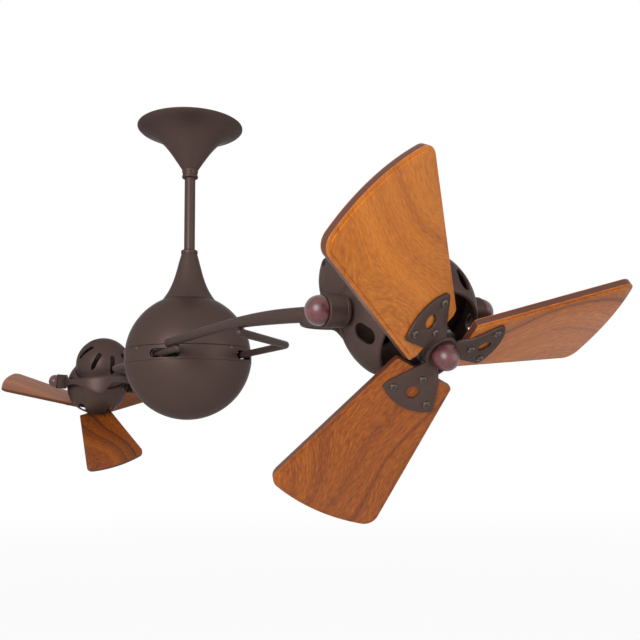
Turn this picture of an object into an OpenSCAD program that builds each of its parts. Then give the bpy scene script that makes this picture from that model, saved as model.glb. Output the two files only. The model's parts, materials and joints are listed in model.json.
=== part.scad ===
// Twin head ceiling fan: a bell canopy and a downrod carry a sphere whose
// equator band turns with two drooping arms. Each arm ends in a fork that
// holds a tilting motor head with three wooden blades.
// Frame: origin on the ceiling face, on the axis of the downrod, +Z up.
// +X runs to head A, and head B is head A turned half round about Z.

/* [Suspension] */
// Ceiling face to the centre of the sphere
sphere_drop = 394; // [360:1:460]
// Radius of the canopy rim
canopy_r = 89; // [84:0.5:100]
// Height of the flared part of the canopy
canopy_flare_h = 75; // [66:0.5:85]
// Wall of the canopy and of the neck cover
canopy_wall = 1.6; // [1.2:0.1:2.4]
// Outer diameter of the downrod
rod_d = 18; // [16:0.5:19]
// Wall of the downrod
rod_wall = 2.5; // [1.5:0.1:3]
// Radius of the hanger ball
ball_r = 19; // [17:0.5:21]
// Spacing of the two ceiling screws
ceiling_spacing = 89; // [80:0.5:96]
// Diameter of the ceiling screw holes
ceiling_hole_d = 5; // [4:0.1:6]
// Thickness of the ceiling plate
plate_t = 3; // [2:0.1:4]
// Radius of the ceiling plate
plate_r = 58; // [54:0.5:62]

/* [Sphere] */
// Outer radius of the lower bowl
bowl_r = 104; // [100:0.5:112]
// How far the upper dome stands back from the bowl
dome_step = 1.6; // [1:0.1:2.5]
// Wall of the bowl and the dome
shell_wall = 2; // [1.5:0.1:3]
// Height of the equator band
band_h = 23; // [21:0.5:26]
// Middle of the band below the centre of the sphere
band_low = 2; // [0:0.5:4]
// Wall of the band
band_wall = 3; // [2:0.1:4]
// Running gap above the band
groove = 0.6; // [0.4:0.1:1]
// Angle of the band slots from the line through the heads
slot_az = 41; // [38:0.5:44]
// Length of a band slot
slot_len = 49; // [44:0.5:52]
// Height of a band slot
slot_h = 13.4; // [12.4:0.1:15]
// Radius of the neck cover where it meets the dome
neck_r = 44; // [40:0.5:48]
// Height of the neck cover
neck_h = 86; // [78:0.5:95]

/* [Spindle] */
// Diameter of the spindle that the carrier turns on
spindle_d = 20; // [17:0.5:22]
// Outer diameter of the carrier bearings
bearing_od = 42; // [38:0.5:46]
// Height of a carrier bearing
bearing_h = 12; // [10:0.5:13]
// Height of the carrier plate
carrier_h = 17; // [15:0.5:19]
// Radial running clearance of every turning fit
run_gap = 0.05; // [0.02:0.01:0.1]
// Clearance between faces that move past each other
face_gap = 0.3; // [0.25:0.05:0.5]

/* [Arms] */
// Distance from the fan axis to the tilt axis of a head
reach = 602; // [570:1:640]
// Height of the tilt axis below the centre of the sphere
head_low = 10.3; // [6:0.1:14]
// Diameter of the slot stub and the brace
tube_d = 10.4; // [9.6:0.1:11.4]
// Diameter of the arm at its inner end
arm_d = 12.8; // [11.5:0.1:14]
// Diameter of the arm at the fork
arm_end_d = 16.4; // [14.5:0.1:18]
// Sideways offset of the arm from the line through the heads
arm_side = 70; // [67:0.5:73]
// Start of the arm from the fan axis
arm_start = 105; // [100:1:115]
// Where the droop of the arm begins
droop_start = 250; // [220:1:280]
// Radius of the drooping stretch of the arm
droop_r = 2440; // [2200:10:2800]
// Where the arm starts to swell
swell_start = 300; // [270:1:340]
// Sideways offset of the brace where it leaves the band
brace_side = 59; // [54:0.5:62]
// Where the brace turns towards the arm
brace_turn = 238; // [220:1:260]
// Angle by which the brace turns
brace_angle = 45; // [40:0.5:50]
// Bend radius of the brace
brace_bend_r = 20; // [16:0.5:26]
// Tube ends in the carrier, from the fan axis
tube_root = 30; // [27:0.5:33]

/* [Fork] */
// Inner half width of the fork
fork_half = 72; // [71:0.5:76]
// Wall of the fork
fork_wall = 6; // [5:0.5:8]
// Straight length of the fork prongs behind the tilt axis
fork_straight = 52; // [50:1:58]
// Top of the fork above the tilt axis
fork_top = 10.4; // [8:0.2:12]
// Bottom of the fork below the tilt axis where it hangs deepest
fork_deep = 30; // [26:0.5:34]
// Bottom of the fork below the tilt axis at the root of a prong
fork_slim = 10; // [8:0.5:12]
// Bottom of the fork below the tilt axis at the shoulder of the arm
fork_shoulder = 3; // [2:0.5:5]
// Sideways place of the deepest part of the fork
belly_side = 24; // [18:1:30]
// Sideways lean of each fork about its arm
fork_lean = 3; // [0:0.5:5]
// Radius of the pivot boss
boss_r = 15.8; // [14.5:0.1:17]
// Outer face of the pivot boss from the head centre
boss_out = 92.5; // [89:0.1:94]
// Inner face of the pivot boss from the head centre
boss_in = 70.5; // [69:0.1:71]
// Radius of the stub on the front shell that meets the boss
shell_boss_r = 10.5; // [9.5:0.1:14]
// Diameter of the pivot stud
stud_d = 10; // [8:0.5:12]
// Diameter of the clamp screw in the knob
clamp_d = 6; // [5:0.5:6.5]
// Radius of the tilt knob
knob_r = 14.2; // [13:0.1:15.5]
// Length of the tilt knob
knob_l = 16.5; // [15:0.5:20]

/* [Head] */
// Tilt of head A below level
tilt_a = 41.4; // [0:0.1:80]
// Tilt of head B below level
tilt_b = 48.3; // [0:0.1:80]
// Outer radius of the front shell
front_r = 66.8; // [65.5:0.1:66.9]
// Centre of the front shell ahead of the tilt axis
front_mid = 5.2; // [4:0.1:6]
// Radius of the mouth of the front shell
mouth_r = 52.5; // [51:0.5:54]
// Outer radius of the rear shell
rear_r = 60; // [57:0.1:60]
// Centre of the rear dome behind the tilt axis
rear_mid = 57.2; // [54:0.1:58]
// Wall of the head shells
head_wall = 2.5; // [2:0.1:2.6]
// Waist where the two shells meet, behind the tilt axis
waist = 30; // [28:0.5:31]
// Front end of the ring that centres the rear shell, behind the tilt axis
ring_end = 12; // [10:0.5:14]
// Turn of the rear shell about the motor axis
shell_phase = -7; // [-15:1:15]
// Number of slots in the rear dome
rear_slots = 8; // [6:1:8]
// Width of a rear slot
rear_slot_w = 10.5; // [8:0.5:12]
// Inner end of a rear slot from the motor axis
rear_slot_in = 33; // [28:0.5:36]
// Number of vents in the front shell
front_vents = 6; // [4:1:6]
// Turn of the vents about the motor axis
vent_phase = 5; // [0:1:10]
// Length of a front vent along the motor axis
vent_l = 24; // [21:0.5:26]
// Width of a front vent round the shell
vent_w = 17; // [14:0.5:19]
// Middle of a front vent ahead of the centre of the front shell
vent_mid = 25; // [22:0.5:26]

/* [Motor] */
// Clearance between the stator and the neck of the rear shell
stator_gap = 0.6; // [0.4:0.1:1.5]
// Length of the stator
stator_l = 50; // [44:0.5:52]
// Radius of the rotor core
core_r = 26; // [22:0.5:30]
// Air gap between the rotor core and the stator
air_gap = 0.6; // [0.4:0.1:1]
// Diameter of the motor shaft
shaft_d = 8; // [7:0.5:10]
// Outer radius of a motor bearing
motor_bearing_r = 11; // [10:0.5:13]
// Thickness of a motor bearing
motor_bearing_h = 7; // [6:0.5:8]

/* [Blades] */
// Tip radius of the blades
blade_tip_r = 203; // [180:1:215]
// Start of a blade from the motor axis
blade_root = 25; // [24:0.5:28]
// Half width of a blade at its root
blade_root_half = 33; // [30:0.5:36]
// Half width of a blade at its tip
blade_tip_half = 62; // [52:0.5:66]
// Rounding of the tip corners
blade_corner = 13; // [8:0.5:18]
// Thickness of a blade
blade_t = 8; // [6:0.5:9]
// Pitch of a blade
blade_pitch = 18; // [12:0.5:20]
// Turn of the blades of head A
phase_a = 129.8; // [0:0.1:360]
// Turn of the blades of head B
phase_b = 260.7; // [0:0.1:360]
// Face of the blade bracket ahead of the tilt axis
bracket_ahead = 71; // [69:0.5:76]
// Thickness of the blade bracket
bracket_t = 2.6; // [2:0.1:3.2]
// Radius of the bracket hub
bracket_hub_r = 17; // [16:0.5:19]
// Hub face of the bracket behind the plane of its lobes
hub_sink = 1.5; // [1:0.1:2.5]
// Reach of a bracket lobe
lobe_out = 63.5; // [61:0.5:66]
// Half width of a bracket lobe
lobe_half = 29; // [26:0.5:30]
// Corner radius of a bracket lobe
lobe_corner = 5; // [4:0.5:6]
// Radius of the round window in a bracket lobe
window_r = 6.6; // [4:0.1:7]
// Middle of the window from the motor axis
window_at = 46; // [44:0.5:47]
// Shank diameter of the blade screws
blade_screw_d = 4; // [3:0.5:5]
// Radius of the hub finial
finial_r = 12.7; // [11.5:0.1:14]
// Length of the hub finial
finial_l = 19; // [17:0.5:24]

/* [Hidden] */

$fn = 96;
eps = 0.01;
bronze = "#544840";
bronze_dark = "#3c332e";
wood = "#a85a24";
knob_wood = "#5e2419";
steel = "#9a9a9a";
copper = "#a5612c";

// Heights along the downrod
rod_r = rod_d / 2;
ball_z = -(plate_t + ball_r + 1);
pin_d = 5;
rod_top = ball_z + ball_r - 2;
neck_top = -sphere_drop + sqrt(pow(bowl_r - dome_step, 2) - pow(neck_r, 2)) + neck_h;
dome_r = bowl_r - dome_step;
dome_top = -sphere_drop + dome_r;
rod_end = dome_top - shell_wall - 24;
collar_r = rod_r + 4.5;
collar_h = 15;
collar_z = -canopy_flare_h;
hanger_r = ball_r + 7;
seat_r = ball_r - 5;
seat_z = ball_z - sqrt(pow(ball_r, 2) - pow(seat_r, 2));

// Heights inside the sphere, from its centre
band_top = band_h / 2 - band_low;
band_bottom = -band_h / 2 - band_low;
slot_z = -band_low - 1.4;
carrier_top = slot_z + carrier_h / 2;
carrier_bottom = slot_z - carrier_h / 2;
spoke_az = 20;
spoke_w = 14;
spoke_h = carrier_h + 4;
band_screw_z = carrier_top + 0.9;
coupling_r = 26;
coupling_bottom = carrier_top + 12;
coupling_top = sqrt(pow(dome_r - shell_wall, 2) - pow(rod_r + 6, 2)) - 0.1;
sleeve_h = 26;
band_in = bowl_r - band_wall - 2;
nut_h = 10;
spindle_end = carrier_bottom - sleeve_h - face_gap - nut_h;
bore_r = bearing_od / 2;
ring_r = 15;
ring_h = 22;
bar_at = tube_root + 8;
bar_w = 16;
bar_half = arm_side + tube_d / 2 + 4;

// The arm, its droop and the brace
arm_z = slot_z + (tube_d + arm_d) / 2 + eps;
arm_end = reach - fork_straight - 18;
stub_end = 145;
function arm_drop(x) = x < droop_start ? 0 : droop_r - sqrt(pow(droop_r, 2) - pow(x - droop_start, 2));
function arm_dia(x) = x < swell_start ? arm_d
    : arm_d + (arm_end_d - arm_d) * min(1, (x - swell_start) / (480 - swell_start));
brace_run = (brace_side + arm_side) / sin(brace_angle);
brace_end_x = brace_turn + brace_run * cos(brace_angle);
brace_fall = slot_z - (arm_z - arm_drop(brace_end_x) - (arm_dia(brace_end_x) + tube_d) / 2 - 2 * eps);
brace_slope = asin(brace_fall / (brace_side + arm_side));

// The head, along its own axis from the tilt axis
bulkhead_at = 6;
bulkhead_t = 4;
web_t = 4;
stator_front = -8;
stator_back = stator_front - stator_l;
stator_r = sqrt(pow(rear_r - head_wall, 2) - pow(rear_mid - waist, 2)) - stator_gap;
web_at = stator_back - 8;
shaft_back = web_at + web_t - motor_bearing_h;
mouth_a = front_mid + sqrt(pow(front_r, 2) - pow(mouth_r, 2));
screw_a = (-waist - ring_end) / 2 + 2;
screw_phase = 45;
screw_count = 4;
hub_r = 20;
hub_back = bulkhead_at + bulkhead_t + 14;
hub_front = bracket_ahead - bracket_t;
hub_face = bracket_ahead - hub_sink;
hub_deep = 8;
shaft_tip = 8;
lobe_neck = 9;
lobe_start = bracket_hub_r - 3;
lobe_bow = 6.5;
outer_screw = [50.4, 19.8];
inner_screw = 30.6;
blade_front = -bracket_t - eps;

module at_sphere() { translate([0, 0, -sphere_drop]) children(); }

// Frame of the fork: the tilt axis runs along Y through the origin
module at_fork(side) {
    rotate([0, 0, side * 180]) at_sphere() translate([reach, 0, -head_low])
        rotate([fork_lean, 0, 0]) children();
}

// Frame of the head: the motor axis is Z and the tilt axis stays Y
module at_head(side) {
    at_fork(side) rotate([0, 90 + (side == 0 ? tilt_a : tilt_b), 0]) children();
}

// Frame of the rotor, turned with its blades
module at_rotor(side) { at_head(side) rotate([0, 0, side == 0 ? phase_a : phase_b]) children(); }

// Frame of one blade: it runs along Y, its front face in the plane of the bracket
module at_blade(side, k) {
    at_rotor(side) rotate([0, 0, k * 120]) translate([0, 0, bracket_ahead])
        rotate([0, blade_pitch, 0]) children();
}

module pill(len, wide) {
    square([len - wide, wide], center = true);
    for (s = [-1, 1]) translate([s * (len - wide) / 2, 0]) circle(d = wide);
}

module ring(r_out, r_in, h) {
    difference() {
        cylinder(r = r_out, h = h);
        translate([0, 0, -1]) cylinder(r = r_in, h = h + 2);
    }
}

// ---- Suspension ----

// Radius of the canopy at a depth t of its flare, from 0 at the ceiling to 1
function flare_r(t) = collar_r + (canopy_r - collar_r)
    * (0.58 * (1 - t) + 0.42 / (1 + pow(t / 0.17, 2)) - 0.0118 * t);
function flare_points(wall) = [for (i = [0 : 28]) let (t = i / 28)
    [flare_r(t) - wall, -1.5 - t * (canopy_flare_h - 1.5)]];

module canopy() {
    color(bronze) rotate_extrude() polygon(concat(
        [[canopy_r, 0]], flare_points(0),
        [[rod_r + 1, -canopy_flare_h], [rod_r + 1, -canopy_flare_h + canopy_wall]],
        [for (i = [27 : -1 : 0]) if (flare_points(canopy_wall)[i][0] > rod_r + 1.2)
            flare_points(canopy_wall)[i] + [0, i > 20 ? canopy_wall : 0]],
        [[canopy_r - canopy_wall, 0]]));
}

module ceiling_plate() {
    color(steel) difference() {
        union() {
            translate([0, 0, -plate_t]) cylinder(r = plate_r, h = plate_t);
            for (s = [-1, 1]) translate([s * hanger_r - 2, -9, seat_z - 3])
                cube([4, 18, -seat_z + 3 - plate_t + eps]);
            translate([0, 0, seat_z - 3]) cylinder(r = hanger_r + 2, h = 4);
        }
        for (s = [-1, 1]) translate([0, s * ceiling_spacing / 2, -plate_t - 1])
            cylinder(d = ceiling_hole_d, h = plate_t + 2);
        translate([0, 0, ball_z]) sphere(r = ball_r + run_gap);
        translate([0, 0, seat_z - 4]) cylinder(r = seat_r, h = 4 - seat_z);
        translate([0, 0, -plate_t - 1]) cylinder(r = seat_r, h = plate_t + 2);
    }
}

module hanger_ball() {
    color(bronze_dark) translate([0, 0, ball_z]) difference() {
        sphere(r = ball_r);
        cylinder(r = rod_r + run_gap, h = 3 * ball_r, center = true);
        rotate([90, 0, 0]) cylinder(d = pin_d + 2 * run_gap, h = 3 * ball_r, center = true);
    }
}

module hanger_pin() {
    color(steel) translate([0, 0, ball_z]) rotate([90, 0, 0])
        cylinder(d = pin_d, h = 2 * ball_r - 6, center = true);
}

module downrod() {
    color(bronze) difference() {
        translate([0, 0, rod_end]) cylinder(r = rod_r, h = rod_top - rod_end);
        translate([0, 0, rod_end - 1]) cylinder(r = rod_r - rod_wall, h = rod_top - rod_end + 2);
        translate([0, 0, ball_z]) rotate([90, 0, 0])
            cylinder(d = pin_d + 2 * run_gap, h = 3 * ball_r, center = true);
    }
}

module canopy_collar() {
    color(bronze) difference() {
        translate([0, 0, collar_z - collar_h]) union() {
            cylinder(r = collar_r - 1, h = collar_h - eps);
            translate([0, 0, 3]) cylinder(r = collar_r, h = collar_h - 3 - eps);
        }
        translate([0, 0, collar_z - collar_h - 1]) cylinder(r = rod_r + run_gap, h = collar_h + 2);
        for (s = [0, 180]) rotate([0, 0, s]) translate([rod_r, 0, collar_z - collar_h / 2 + 1])
            rotate([0, 90, 0]) cylinder(d = 3, h = 10);
    }
}

module collar_screws() {
    color(steel) for (s = [0, 180]) rotate([0, 0, s])
        translate([rod_r, 0, collar_z - collar_h / 2 + 1]) rotate([0, 90, 0])
            cylinder(d = 2.9, h = collar_r - rod_r + 0.5);
}

// Radius of the neck cover at a height t, from 0 at the dome to 1 at its top
neck_top_r = rod_r + 4;
neck_lip = 6;
function neck_radius(t) = neck_top_r + (neck_r - neck_top_r)
    * (0.55 * (1 - t) + 0.45 * pow(1 - t, 3.3) + 0.22 * pow(t, 2) * (1 - t));
neck_base = neck_top - neck_h;
function neck_points(wall) = [for (i = [0 : 28]) let (t = i / 28)
    [neck_radius(t) - wall, neck_base + t * (neck_h - neck_lip)]];

module neck_cover() {
    color(bronze) difference() {
        rotate_extrude() polygon(concat(
            neck_points(0),
            [[neck_top_r + 0.8, neck_top - neck_lip], [neck_top_r + 0.8, neck_top - 1],
             [neck_top_r - 0.2, neck_top], [rod_r + run_gap, neck_top],
             [rod_r + run_gap, neck_top - neck_lip - canopy_wall]],
            [for (i = [27 : -1 : 0]) if (neck_points(canopy_wall)[i][1] < neck_top - neck_lip - canopy_wall - 0.2)
                neck_points(canopy_wall)[i]]));
        at_sphere() sphere(r = dome_r + eps, $fn = 192);
    }
}

// ---- Sphere ----

module upper_dome() {
    color(bronze) at_sphere() difference() {
        sphere(r = dome_r, $fn = 192);
        sphere(r = dome_r - shell_wall, $fn = 192);
        translate([0, 0, -2 * bowl_r + band_top + groove]) cylinder(r = 2 * bowl_r, h = 2 * bowl_r);
        cylinder(r = rod_r + run_gap, h = 2 * bowl_r);
    }
}

module lower_bowl() {
    color(bronze) at_sphere() difference() {
        sphere(r = bowl_r, $fn = 192);
        sphere(r = bowl_r - shell_wall, $fn = 192);
        translate([0, 0, band_bottom - eps]) cylinder(r = 2 * bowl_r, h = 2 * bowl_r);
        bowl_screw_holes();
    }
}

module at_bowl_screws() {
    for (k = [0 : 2]) rotate([0, 0, 50 + k * 120]) translate([0, 0, band_bottom - 3])
        rotate([0, 90, 0]) translate([0, 0, band_in - 6]) children();
}

module bowl_screw_holes() { at_bowl_screws() cylinder(d = 3.1, h = 30); }

module band_slot(az) {
    rotate([0, 0, az]) translate([0, 0, slot_z]) rotate([90, 0, 90])
        linear_extrude(2 * bowl_r) pill(slot_len, slot_h);
}

module band() {
    color(bronze) at_sphere() difference() {
        union() {
            translate([0, 0, band_bottom]) cylinder(r = bowl_r - 0.6, h = band_h, $fn = 192);
            translate([0, 0, band_bottom - 5]) cylinder(r = bowl_r - shell_wall - 2, h = 5 + eps);
        }
        translate([0, 0, band_bottom - 6]) cylinder(r = band_in, h = band_h + 8);
        for (az = [slot_az, 180 - slot_az, 180 + slot_az, -slot_az]) band_slot(az);
        bowl_screw_holes();
        for (k = [0 : 3]) rotate([0, 0, spoke_az + k * 90])
            translate([bowl_r - 12, 0, band_screw_z]) rotate([0, 90, 0]) cylinder(d = 4.1, h = 20);
    }
}

module band_screws() {
    color(steel) at_sphere() for (k = [0 : 3]) rotate([0, 0, spoke_az + k * 90])
        translate([0, 0, band_screw_z]) rotate([0, 90, 0]) {
            translate([0, 0, bowl_r - 16]) cylinder(d = 4, h = 16);
            translate([0, 0, bowl_r - 0.5]) cylinder(d = 6, h = 1.2);
        }
}

module carrier_plate() {
    color(steel) at_sphere() difference() {
        union() {
            translate([0, 0, carrier_bottom]) cylinder(r = bar_at - bar_w / 2 + 4, h = carrier_h);
            for (k = [0 : 3]) rotate([0, 0, spoke_az + k * 90])
                translate([bore_r + 5, -spoke_w / 2, carrier_bottom])
                    cube([sqrt(pow(band_in, 2) - pow(spoke_w / 2, 2)) - eps - bore_r - 5, spoke_w, spoke_h]);
            for (s = [-1, 1]) translate([s * bar_at - bar_w / 2, -bar_half, carrier_bottom])
                cube([bar_w, 2 * bar_half, carrier_h]);
            translate([0, 0, carrier_bottom - sleeve_h]) cylinder(r = bore_r + 5, h = sleeve_h + 1);
        }
        translate([0, 0, carrier_bottom - sleeve_h - 1]) cylinder(r = bore_r + eps, h = carrier_h + sleeve_h + 2);
        for (s = [0, 180]) rotate([0, 0, s]) {
            translate([tube_root - 3, -arm_side, slot_z]) rotate([0, 90, 0])
                cylinder(d = tube_d + 2 * run_gap, h = 70);
            translate([tube_root - 3, brace_side, slot_z]) rotate([0, 90, 0])
                cylinder(d = tube_d + 2 * run_gap, h = 70);
        }
        for (k = [0 : 3]) rotate([0, 0, spoke_az + k * 90])
            translate([bowl_r - 17, 0, band_screw_z]) rotate([0, 90, 0]) cylinder(d = 4.1, h = 20);
    }
}

module bowl_screws() {
    color(steel) at_sphere() at_bowl_screws() cylinder(d = 3, h = bowl_r - band_in + 5.2);
}

module carrier_bearing(z) {
    at_sphere() translate([0, 0, z]) ring(bore_r, spindle_d / 2 + run_gap, bearing_h);
}

module upper_bearing() { color(steel) carrier_bearing(carrier_top - bearing_h); }

module lower_bearing() { color(steel) carrier_bearing(carrier_bottom - sleeve_h); }

module coupling() {
    color(steel) at_sphere() difference() {
        union() {
            translate([0, 0, coupling_bottom]) cylinder(r = coupling_r, h = 8);
            translate([0, 0, coupling_bottom + 8 - eps])
                cylinder(r = rod_r + 6, h = coupling_top - coupling_bottom - 8);
        }
        translate([0, 0, rod_end + sphere_drop]) cylinder(r = rod_r + run_gap, h = bowl_r);
        translate([0, 0, coupling_bottom - 1]) cylinder(r = 6, h = bowl_r);
    }
}

module spindle() {
    color(steel) at_sphere() difference() {
        translate([0, 0, spindle_end]) cylinder(d = spindle_d, h = coupling_bottom - spindle_end);
        translate([0, 0, spindle_end - 1]) cylinder(r = 5, h = bowl_r);
    }
}

module slip_ring() {
    color(copper) at_sphere() translate([0, 0, spindle_end - ring_h]) difference() {
        union() {
            cylinder(r = ring_r - 2, h = ring_h - eps);
            for (k = [0 : 2]) translate([0, 0, 2 + k * 7]) cylinder(r = ring_r, h = 4);
        }
        translate([0, 0, -1]) cylinder(r = 5, h = ring_h + 2);
    }
}

module spindle_nut() {
    color(steel) at_sphere() translate([0, 0, spindle_end + eps]) difference() {
        cylinder(r = 16, h = nut_h - eps, $fn = 6);
        translate([0, 0, -1]) cylinder(r = spindle_d / 2 + eps, h = nut_h + 2);
    }
}

module brush_block() {
    brush_z = spindle_end - ring_h;
    color(bronze_dark) at_sphere() {
        translate([ring_r + face_gap, -6, brush_z]) cube([bore_r + 6 - ring_r, 12, ring_h]);
        translate([bore_r + 5.3, -6, brush_z]) cube([4, 12, carrier_bottom - brush_z - eps]);
    }
}

// ---- Arms ----

module straight_tube(x0, x1, y, z, d) {
    translate([x0, y, z]) rotate([0, 90, 0]) cylinder(d = d, h = x1 - x0, $fn = 48);
}

module stub(side) {
    color(bronze) rotate([0, 0, side * 180]) at_sphere() {
        straight_tube(tube_root, stub_end, -arm_side, slot_z, tube_d);
        translate([stub_end, -arm_side, slot_z]) sphere(d = tube_d, $fn = 48);
    }
}

// The droop is a chain of cones, each joint rounded by a slightly larger ball
arm_links = 6;
function arm_x(i) = droop_start + i * (arm_end - droop_start) / arm_links;

module drooping_arm() {
    for (i = [0 : arm_links - 1]) {
        run = arm_x(i + 1) - arm_x(i);
        fall = arm_drop(arm_x(i + 1)) - arm_drop(arm_x(i));
        translate([arm_x(i), -arm_side, arm_z - arm_drop(arm_x(i))]) {
            rotate([0, 90 + atan(fall / run), 0])
                cylinder(d1 = arm_dia(arm_x(i)), d2 = arm_dia(arm_x(i + 1)),
                    h = sqrt(pow(run, 2) + pow(fall, 2)), $fn = 48);
            sphere(d = arm_dia(arm_x(i)) + 0.3, $fn = 48);
        }
    }
}

module arm(side) {
    color(bronze) difference() {
        rotate([0, 0, side * 180]) at_sphere() {
            straight_tube(arm_start, droop_start, -arm_side, arm_z, arm_d);
            translate([arm_start, -arm_side, arm_z]) sphere(d = arm_d, $fn = 48);
            drooping_arm();
        }
        at_fork(side) fork_envelope();
    }
}

module brace(side) {
    turn_back = brace_bend_r * tan(brace_angle / 2);
    color(bronze) rotate([0, 0, side * 180]) at_sphere() translate([0, brace_side, slot_z])
        rotate([brace_slope, 0, 0]) {
            translate([tube_root, 0, 0]) rotate([0, 90, 0])
                cylinder(d = tube_d, h = brace_turn - turn_back - tube_root, $fn = 48);
            translate([brace_turn - turn_back, -brace_bend_r, 0]) rotate([0, 0, 90 - brace_angle])
                rotate_extrude(angle = brace_angle) translate([brace_bend_r, 0]) circle(d = tube_d, $fn = 48);
            translate([brace_turn, 0, 0]) rotate([0, 0, -brace_angle]) {
                translate([turn_back, 0, 0]) rotate([0, 90, 0])
                    cylinder(d = tube_d, h = brace_run - turn_back, $fn = 48);
                translate([brace_run, 0, 0]) sphere(d = tube_d, $fn = 48);
            }
        }
}

// ---- Fork ----

module fork_plan(half) {
    translate([-fork_straight, 0]) circle(r = half, $fn = 128);
    translate([-fork_straight, -half]) square([fork_straight, 2 * half]);
}

// The fork seen from behind: a belly hangs between the arm shoulder and the far prong
fork_back = fork_straight + fork_half + fork_wall + 1;
fork_reach = fork_half + fork_wall + 1;
belly_start = -6;
// Places along a prong from the tilt axis: where it widens to the boss, where it is slimmest, and the arm shoulder
prong_flare = 21;
prong_waist = 47;
arm_shoulder = 83;
// The belly ends this far beyond the inner face of the fork
belly_over = 2;
// Rise of the near prong over the fork top, reached this far from the back of the fork
prong_rise = 2.5;
rise_run = 30;
side_lap = 0.5;
prong_root = 60;
function ease(t) = pow(t, 2) * (3 - 2 * t);
function belly_low(y) = y < belly_side
    ? -fork_shoulder - (fork_deep - fork_shoulder) * ease((y - belly_start) / (belly_side - belly_start))
    : -fork_deep + (fork_deep - fork_slim) * ease(min(1, (y - belly_side) / (fork_half + belly_over - belly_side)));
function belly_edge() = concat(
    [[fork_reach, 0], [-belly_start, fork_top], [belly_start, fork_top]],
    [for (i = [0 : 24]) let (y = belly_start + i * (fork_reach - belly_start) / 24) [y, belly_low(y)]]);

// A side of the fork, from its root to the boss, where it is as wide as the boss
module fork_side(y0, y1, profile) {
    translate([0, y1, 0]) rotate([90, 0, 0]) linear_extrude(y1 - y0) polygon(profile);
}

module fork_profile() {
    boss_side = boss_r - 1;
    fork_side(-fork_reach, belly_start + side_lap, [
        [-fork_back, fork_top], [-fork_back + rise_run, fork_top + prong_rise - side_lap],
        [-prong_flare, fork_top + prong_rise], [0, boss_side], [0, -boss_side], [-prong_flare, -boss_side],
        [-prong_waist, -fork_slim], [-arm_shoulder, -fork_shoulder], [-fork_back, -fork_shoulder]]);
    translate([-fork_back, 0, 0]) rotate([90, 0, 90]) linear_extrude(fork_back - prong_root) polygon(belly_edge());
    fork_side(prong_root, fork_reach, [
        [-prong_root - side_lap, side_lap], [-prong_flare, fork_top], [0, boss_side], [0, -boss_side],
        [-prong_flare, -boss_side], [-prong_waist, -fork_slim - side_lap], [-prong_root - side_lap, -fork_slim]]);
}

// Space behind and inside the outer face of the fork
module fork_envelope() {
    translate([0, 0, -60]) linear_extrude(120) fork_plan(fork_half + fork_wall);
}

module fork(side) {
    color(bronze) at_fork(side) difference() {
        union() {
            intersection() {
                translate([0, 0, -60]) linear_extrude(120) difference() {
                    fork_plan(fork_half + fork_wall);
                    translate([eps, 0]) fork_plan(fork_half);
                }
                fork_profile();
            }
            for (s = [-1, 1]) translate([0, s * (boss_in + boss_out) / 2, 0]) rotate([90, 0, 0])
                cylinder(r = boss_r, h = boss_out - boss_in, center = true);
        }
        rotate([90, 0, 0]) cylinder(d = stud_d + 2 * run_gap, h = 200, center = true);
    }
}

// ---- Head ----

module rear_ball(r) { translate([0, 0, -rear_mid]) sphere(r = r, $fn = 192); }

module rear_shell(side) {
    slot_out = rear_r - 2;
    color(bronze) at_head(side) rotate([0, 0, shell_phase]) difference() {
        union() {
            difference() {
                rear_ball(rear_r);
                rear_ball(rear_r - head_wall);
                translate([0, 0, -waist]) cylinder(r = 100, h = 100);
            }
            intersection() {
                rear_ball(rear_r - 1);
                union() {
                    translate([0, 0, web_at]) cylinder(r = rear_r, h = web_t);
                    translate([0, 0, shaft_back]) cylinder(r = motor_bearing_r + 3, h = motor_bearing_h);
                }
            }
            intersection() {
                translate([0, 0, -waist - 0.5]) cylinder(r = front_r, h = waist - ring_end + 0.5);
                translate([0, 0, front_mid]) sphere(r = front_r - head_wall - face_gap, $fn = 192);
            }
        }
        translate([0, 0, -waist - 1]) cylinder(r = stator_r + eps, h = waist);
        for (k = [0 : rear_slots - 1]) rotate([0, 0, 90 + k * 360 / rear_slots])
            translate([(rear_slot_in + slot_out) / 2, 0, -rear_mid - rear_r - 1])
                linear_extrude(rear_r - 12) pill(slot_out - rear_slot_in, rear_slot_w);
        translate([0, 0, shaft_back - 1])
            cylinder(r = motor_bearing_r + run_gap, h = motor_bearing_h + web_t + 2);
        shell_screw_holes();
    }
}

screw_seat = sqrt(pow(front_r, 2) - pow(screw_a - front_mid, 2)) - 1.1;

module shell_screw_holes() {
    for (k = [0 : screw_count - 1]) rotate([0, 0, screw_phase + k * 360 / screw_count])
        translate([0, 0, screw_a]) rotate([0, 90, 0]) {
            translate([0, 0, stator_r + 2]) cylinder(d = 3.7, h = 20);
            translate([0, 0, screw_seat]) cylinder(d = 7.2, h = 20);
        }
}

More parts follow.
